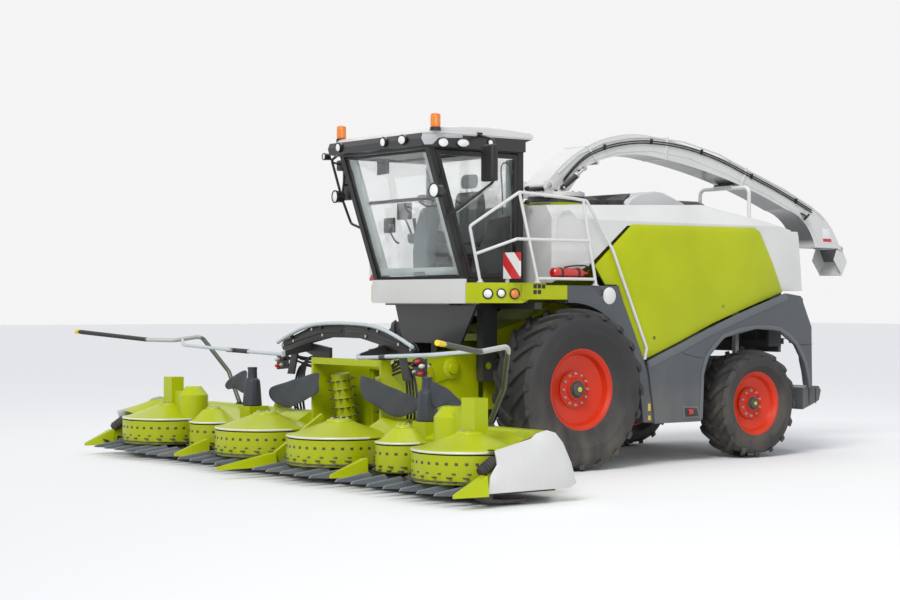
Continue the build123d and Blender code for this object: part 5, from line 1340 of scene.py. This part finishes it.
# Deck from each outer cone up to the side shield, and the faceted white shields themselves
deck_r = 0.532
shield_points = {"a": (-3.003, 0.509, 0.030), "b": (-2.594, 0.605, 0.045), "c": (-2.534, 0.649, 0.050),
                 "d": (-2.414, 0.673, 0.050), "e": (-2.309, 0.645, 0.040), "f": (-2.217, 0.554, 0.032),
                 "g": (-2.109, 0.363, 0.020), "h": (-2.040, 0.170, 0.010), "i": (-2.120, 0.132, 0.030),
                 "j": (-3.080, 0.128, 0.012), "k": (-3.046, 0.285, 0.012), "l": (-2.974, 0.383, 0.016),
                 "m": (-2.981, 0.440, 0.020), "p": (-2.872, 0.281, 0.060), "q": (-2.459, 0.478, 0.080),
                 "r": (-2.489, 0.537, 0.083), "s": (-2.354, 0.531, 0.083), "t": (-2.201, 0.309, 0.070)}
shield_points = {key: (y, z, proud * 0.6) for key, (y, z, proud) in shield_points.items()}
shield_facets = ("abcdsr", "defghts", "thi", "rstipq", "arqpklm", "pijk")
shield = pressed_sheet([[shield_points[key] for key in corners] for corners in shield_facets], 3.692, 0.024)
round_edges(shield, 0.006, 3, 24)
for side, piece in (("left", shield), ("right", mirror_across(shield))):
    complete(piece, f"side_shield_{side}", f"wing_{side}", white_paint, 28)
    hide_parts(f"wing_side_shield_{side}")
for side, x_sign in both_sides:
    inner = [spot(x_sign * (2.935 + deck_r * cos(radians(a))), rotor_y + deck_r * sin(radians(a)), 0.474)
             for a in (-25, 0, 25, 50, 75, 100)]
    outer = places(x_sign, (3.690, -2.985, 0.500), (3.692, -2.780, 0.556), (3.694, -2.560, 0.624),
                   (3.650, -2.400, 0.662), (3.300, -2.200, 0.640), (2.950, -2.150, 0.625))
    middle = [(first + second) / 2 + Vector((0, 0, 0.035)) for first, second in zip(inner, outer)]
    skin([inner, middle, outer], 0.012, f"wing_deck_{side}", f"wing_{side}", header_lime)
    for index, (y, z) in enumerate(((-2.90, 0.34), (-2.36, 0.46))):
        block = plate(oblong(y - 0.03, y + 0.03, z - 0.03, z + 0.03), "X", *span(x_sign, 3.620, 3.700),
                      edge=0.004)
        complete(block, f"shield_bracket_{index + 1}_{side}", f"wing_{side}", black_paint)

    # Drive boot: a faceted rubber moulding with its neck, and the flexible guard sheets beside it
    boot = lathe([(0.636, 0.0), (0.636, 0.100), (0.652, 0.114), (0.880, 0.096), (0.935, 0.088),
                  (0.962, 0.058), (1.060, 0.054), (1.070, 0.060), (1.084, 0.056), (1.084, 0.0)],
                 spot(x_sign * 1.700, -2.290, 0), (0, 0, 1), 9)
    round_edges(boot, 0.010, 3, 25)
    complete(boot, f"shaft_boot_{side}", f"wing_{side}", guard_slate, 25)
    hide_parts(f"drive_boot_{side}")
    top_row = [(1.76, -2.30, 1.070), (1.90, -2.33, 1.035), (2.09, -2.29, 0.981), (2.20, -2.33, 0.925),
               (2.32, -2.30, 0.860)]
    mid_row = [(1.78, -2.33, 0.910), (1.92, -2.28, 0.905), (2.08, -2.33, 0.900), (2.17, -2.29, 0.860),
               (2.28, -2.32, 0.828)]
    low_row = [(1.81, -2.30, 0.750), (1.94, -2.33, 0.790), (2.07, -2.29, 0.827), (2.15, -2.33, 0.812),
               (2.24, -2.30, 0.800)]
    skin([places(x_sign, *row) for row in (top_row, mid_row, low_row)], 0.010,
         f"guard_sheet_near_{side}", f"wing_{side}", guard_slate)
    top_row = [(1.47, -2.20, 0.855), (1.28, -2.240, 0.895), (1.10, -2.20, 0.935), (0.92, -2.240, 0.972),
               (0.74, -2.20, 1.010), (0.56, -2.240, 1.045), (0.36, -2.20, 1.080)]
    mid_row = [(1.45, -2.235, 0.800), (1.28, -2.20, 0.800), (1.10, -2.235, 0.800), (0.92, -2.20, 0.835),
               (0.74, -2.235, 0.880), (0.56, -2.20, 0.930), (0.41, -2.235, 0.965)]
    low_row = [(1.47, -2.20, 0.735), (1.28, -2.240, 0.675), (1.08, -2.20, 0.625), (0.92, -2.240, 0.660),
               (0.74, -2.20, 0.720), (0.56, -2.240, 0.780), (0.38, -2.20, 0.830)]
    skin([places(x_sign, *row) for row in (top_row, mid_row, low_row)], 0.010,
         f"guard_sheet_inner_{side}", "header", guard_slate)

    # Ribbed sleeve behind the outer nose
    sleeve_axis = Vector((0, 0.133, 0.084)).normalized()
    profile = [(-0.015, 0.0), (-0.015, 0.046)]
    for rib in range(5):
        profile += [(rib * 0.034, 0.046), (rib * 0.034 + 0.010, 0.058), (rib * 0.034 + 0.022, 0.058)]
    profile += [(0.165, 0.044), (0.190, 0.036), (0.190, 0.0)]
    sleeve = lathe(profile, spot(x_sign * 3.610, -3.085, 0.320), sleeve_axis, 28)
    complete(sleeve, f"ribbed_sleeve_{side}", f"wing_{side}", black_rubber)

# Sharp ridge along the top of each finger, painted light grey as a highlight along its crest to the point
for side, x_sign in both_sides:
    for name, body, first, last, count in (("centre", "header", 0.120, 1.470, 5),
                                           ("wing", f"wing_{side}", 1.670, 3.530, 7)):
        step = (last - first) / count
        ridges = []
        for index in range(count):
            middle = x_sign * (first + (index + 0.5) * step)
            ridge = plate([(-3.458, 0.106), (-3.430, 0.134), (-3.060, 0.184), (-3.046, 0.165),
                           (-3.060, 0.150), (-3.430, 0.112)], "X", middle - 0.004, middle + 0.004,
                          edge=0.0015, segments=1)
            harden(ridge)
            ridges.append(ridge)
        complete(join(ridges), f"finger_ridges_{name}_{side}", body, crest_highlight)

# Crop press: black linkage frame over the mouth with the pale curved tube across it
press_outline = [(0.0, 1.448), (0.30, 1.446), (0.46, 1.420), (0.98, 1.330), (1.20, 1.282), (1.262, 1.290),
                 (1.290, 1.345), (1.240, 1.400), (0.98, 1.470), (0.66, 1.562), (0.30, 1.590), (0.0, 1.592)]
rib_outline = [(0.05, 1.500), (0.44, 1.492), (0.98, 1.388), (1.20, 1.335), (1.20, 1.350), (0.98, 1.420),
               (0.62, 1.510), (0.05, 1.540)]
for side, x_sign in both_sides:
    for index, y in enumerate((-2.155, -2.105)):
        sheet = plate([(x_sign * x, z) for x, z in press_outline], "Y", y, y + 0.014, edge=0.003)
        complete(sheet, f"press_frame_{index + 1}_{side}", "header", black_paint)
    stiffener = plate([(x_sign * x, z) for x, z in rib_outline], "Y", -2.166, -2.154, edge=0.004)
    complete(stiffener, f"press_stiffener_{side}", "header", black_paint)
    post = plate([(x_sign * 0.955, 1.34), (x_sign * 1.085, 1.32), (x_sign * 1.20, 1.02),
                  (x_sign * 1.06, 1.02)], "Y", -2.135, -2.113, edge=0.004)
    complete(post, f"press_post_{side}", "header", black_paint)
    for index, (x, z) in enumerate(((0.42, 1.470), (0.64, 1.530), (1.02, 1.395), (1.235, 1.345))):
        link = lathe([(-0.010, 0.0), (-0.010, 0.017), (0.0, 0.017), (0.0, 0.011), (0.068, 0.011),
                      (0.068, 0.017), (0.078, 0.017), (0.078, 0.0)], spot(x_sign * x, -2.158, z), (0, 1, 0),
                     18)
        complete(link, f"press_link_{index + 1}_{side}", "header", zinc_steel)
    rod(places(x_sign, (0, -2.182, 1.604), (0.36, -2.184, 1.602), (0.72, -2.186, 1.565),
               (1.08, -2.188, 1.462), (1.310, -2.190, 1.372)), 0.021, f"press_top_tube_{side}", "header",
        pale_tube)
    rod(places(x_sign, (1.300, -2.580, 1.276), (1.40, -2.598, 1.280), (1.493, -2.615, 1.283)), 0.026,
        f"press_sleeve_inner_{side}", "header", black_paint, 5)
    rod(places(x_sign, (1.507, -2.617, 1.283), (1.58, -2.630, 1.286), (1.660, -2.645, 1.288)), 0.026,
        f"press_sleeve_outer_{side}", f"wing_{side}", black_paint, 5)
    for index, (x, z) in enumerate(((0.45, 1.590), (1.06, 1.462))):
        saddle = plate(oblong(x_sign * (x - 0.02), x_sign * (x + 0.02), z - 0.05, z + 0.01), "Y", -2.176,
                       -2.150, edge=0.003)
        complete(saddle, f"press_saddle_{index + 1}_{side}", "header", black_paint)

    # Couplings and hoses beside the mouth, and the round drive housings on the feeder's side
    for index, (x, z, reach) in enumerate(((0.98, 1.060, 0.30), (1.04, 1.030, 0.34), (1.10, 1.000, 0.38),
                                           (1.16, 0.960, 0.30))):
        rod(places(x_sign, (0.66, -1.99, z + 0.10), (x - 0.12, -2.02, z + 0.20), (x, -2.04, z + 0.06),
                   (x + 0.05, -2.04, z - reach), (x + 0.02, -2.03, 0.625)), 0.013,
            f"header_hose_{index + 1}_{side}", "header", black_rubber)
    bracket = plate([(x_sign * 1.20, 1.080), (x_sign * 1.450, 1.060), (x_sign * 1.455, 1.230),
                     (x_sign * 1.330, 1.275), (x_sign * 1.215, 1.240)], "Y", -2.118, -2.104, edge=0.004)
    complete(bracket, f"coupling_bracket_{side}", "header", black_paint)
    for index, (x, z, finish) in enumerate(((1.255, 1.190, black_paint), (1.335, 1.225, red_gloss),
                                            (1.405, 1.180, white_paint), (1.290, 1.120, zinc_steel),
                                            (1.390, 1.105, red_gloss))):
        coupling = lathe([(-0.070, 0.0), (-0.070, 0.014), (-0.050, 0.024), (-0.036, 0.024), (-0.030, 0.018),
                          (-0.004, 0.018), (0.0, 0.026), (0.024, 0.026), (0.030, 0.016), (0.052, 0.014),
                          (0.052, 0.0)], spot(x_sign * x, -2.104, z), (0, 1, 0), 20)
        complete(coupling, f"coupling_{index + 1}_{side}", "header", finish)
    for index, (x, z) in enumerate(((1.255, 1.190), (1.335, 1.225), (1.405, 1.180))):
        rod(places(x_sign, (x, -2.060, z), (x - 0.02, -1.995, z + 0.03), (x - 0.16, -1.985, z - 0.02),
                   (0.70 + 0.05 * index, -1.985, z + 0.02 - 0.05 * index)), 0.012,
            f"coupling_hose_{index + 1}_{side}", "header", black_rubber)
    for index, (y, z, radius) in enumerate(((-1.36, 1.02, 0.150), (-0.98, 1.10, 0.115))):
        housing = lathe([(0.0, 0.0), (0.0, radius), (0.030, radius), (0.040, radius - 0.012),
                         (0.046, radius * 0.55), (0.070, radius * 0.48), (0.074, radius * 0.30),
                         (0.074, 0.0)], spot(x_sign * 0.338, y, z), (x_sign, 0, 0), 32)
        complete(housing, f"feeder_drive_{index + 1}_{side}", "header", lime_paint)
    chain_case = plate([(-1.44, 1.10), (-1.28, 1.16), (-0.94, 1.19), (-0.90, 1.02), (-1.30, 0.92)], "X",
                       *span(x_sign, 0.338, 0.362), edge=0.008, segments=3)
    complete(chain_case, f"feeder_chain_case_{side}", "header", lime_paint)
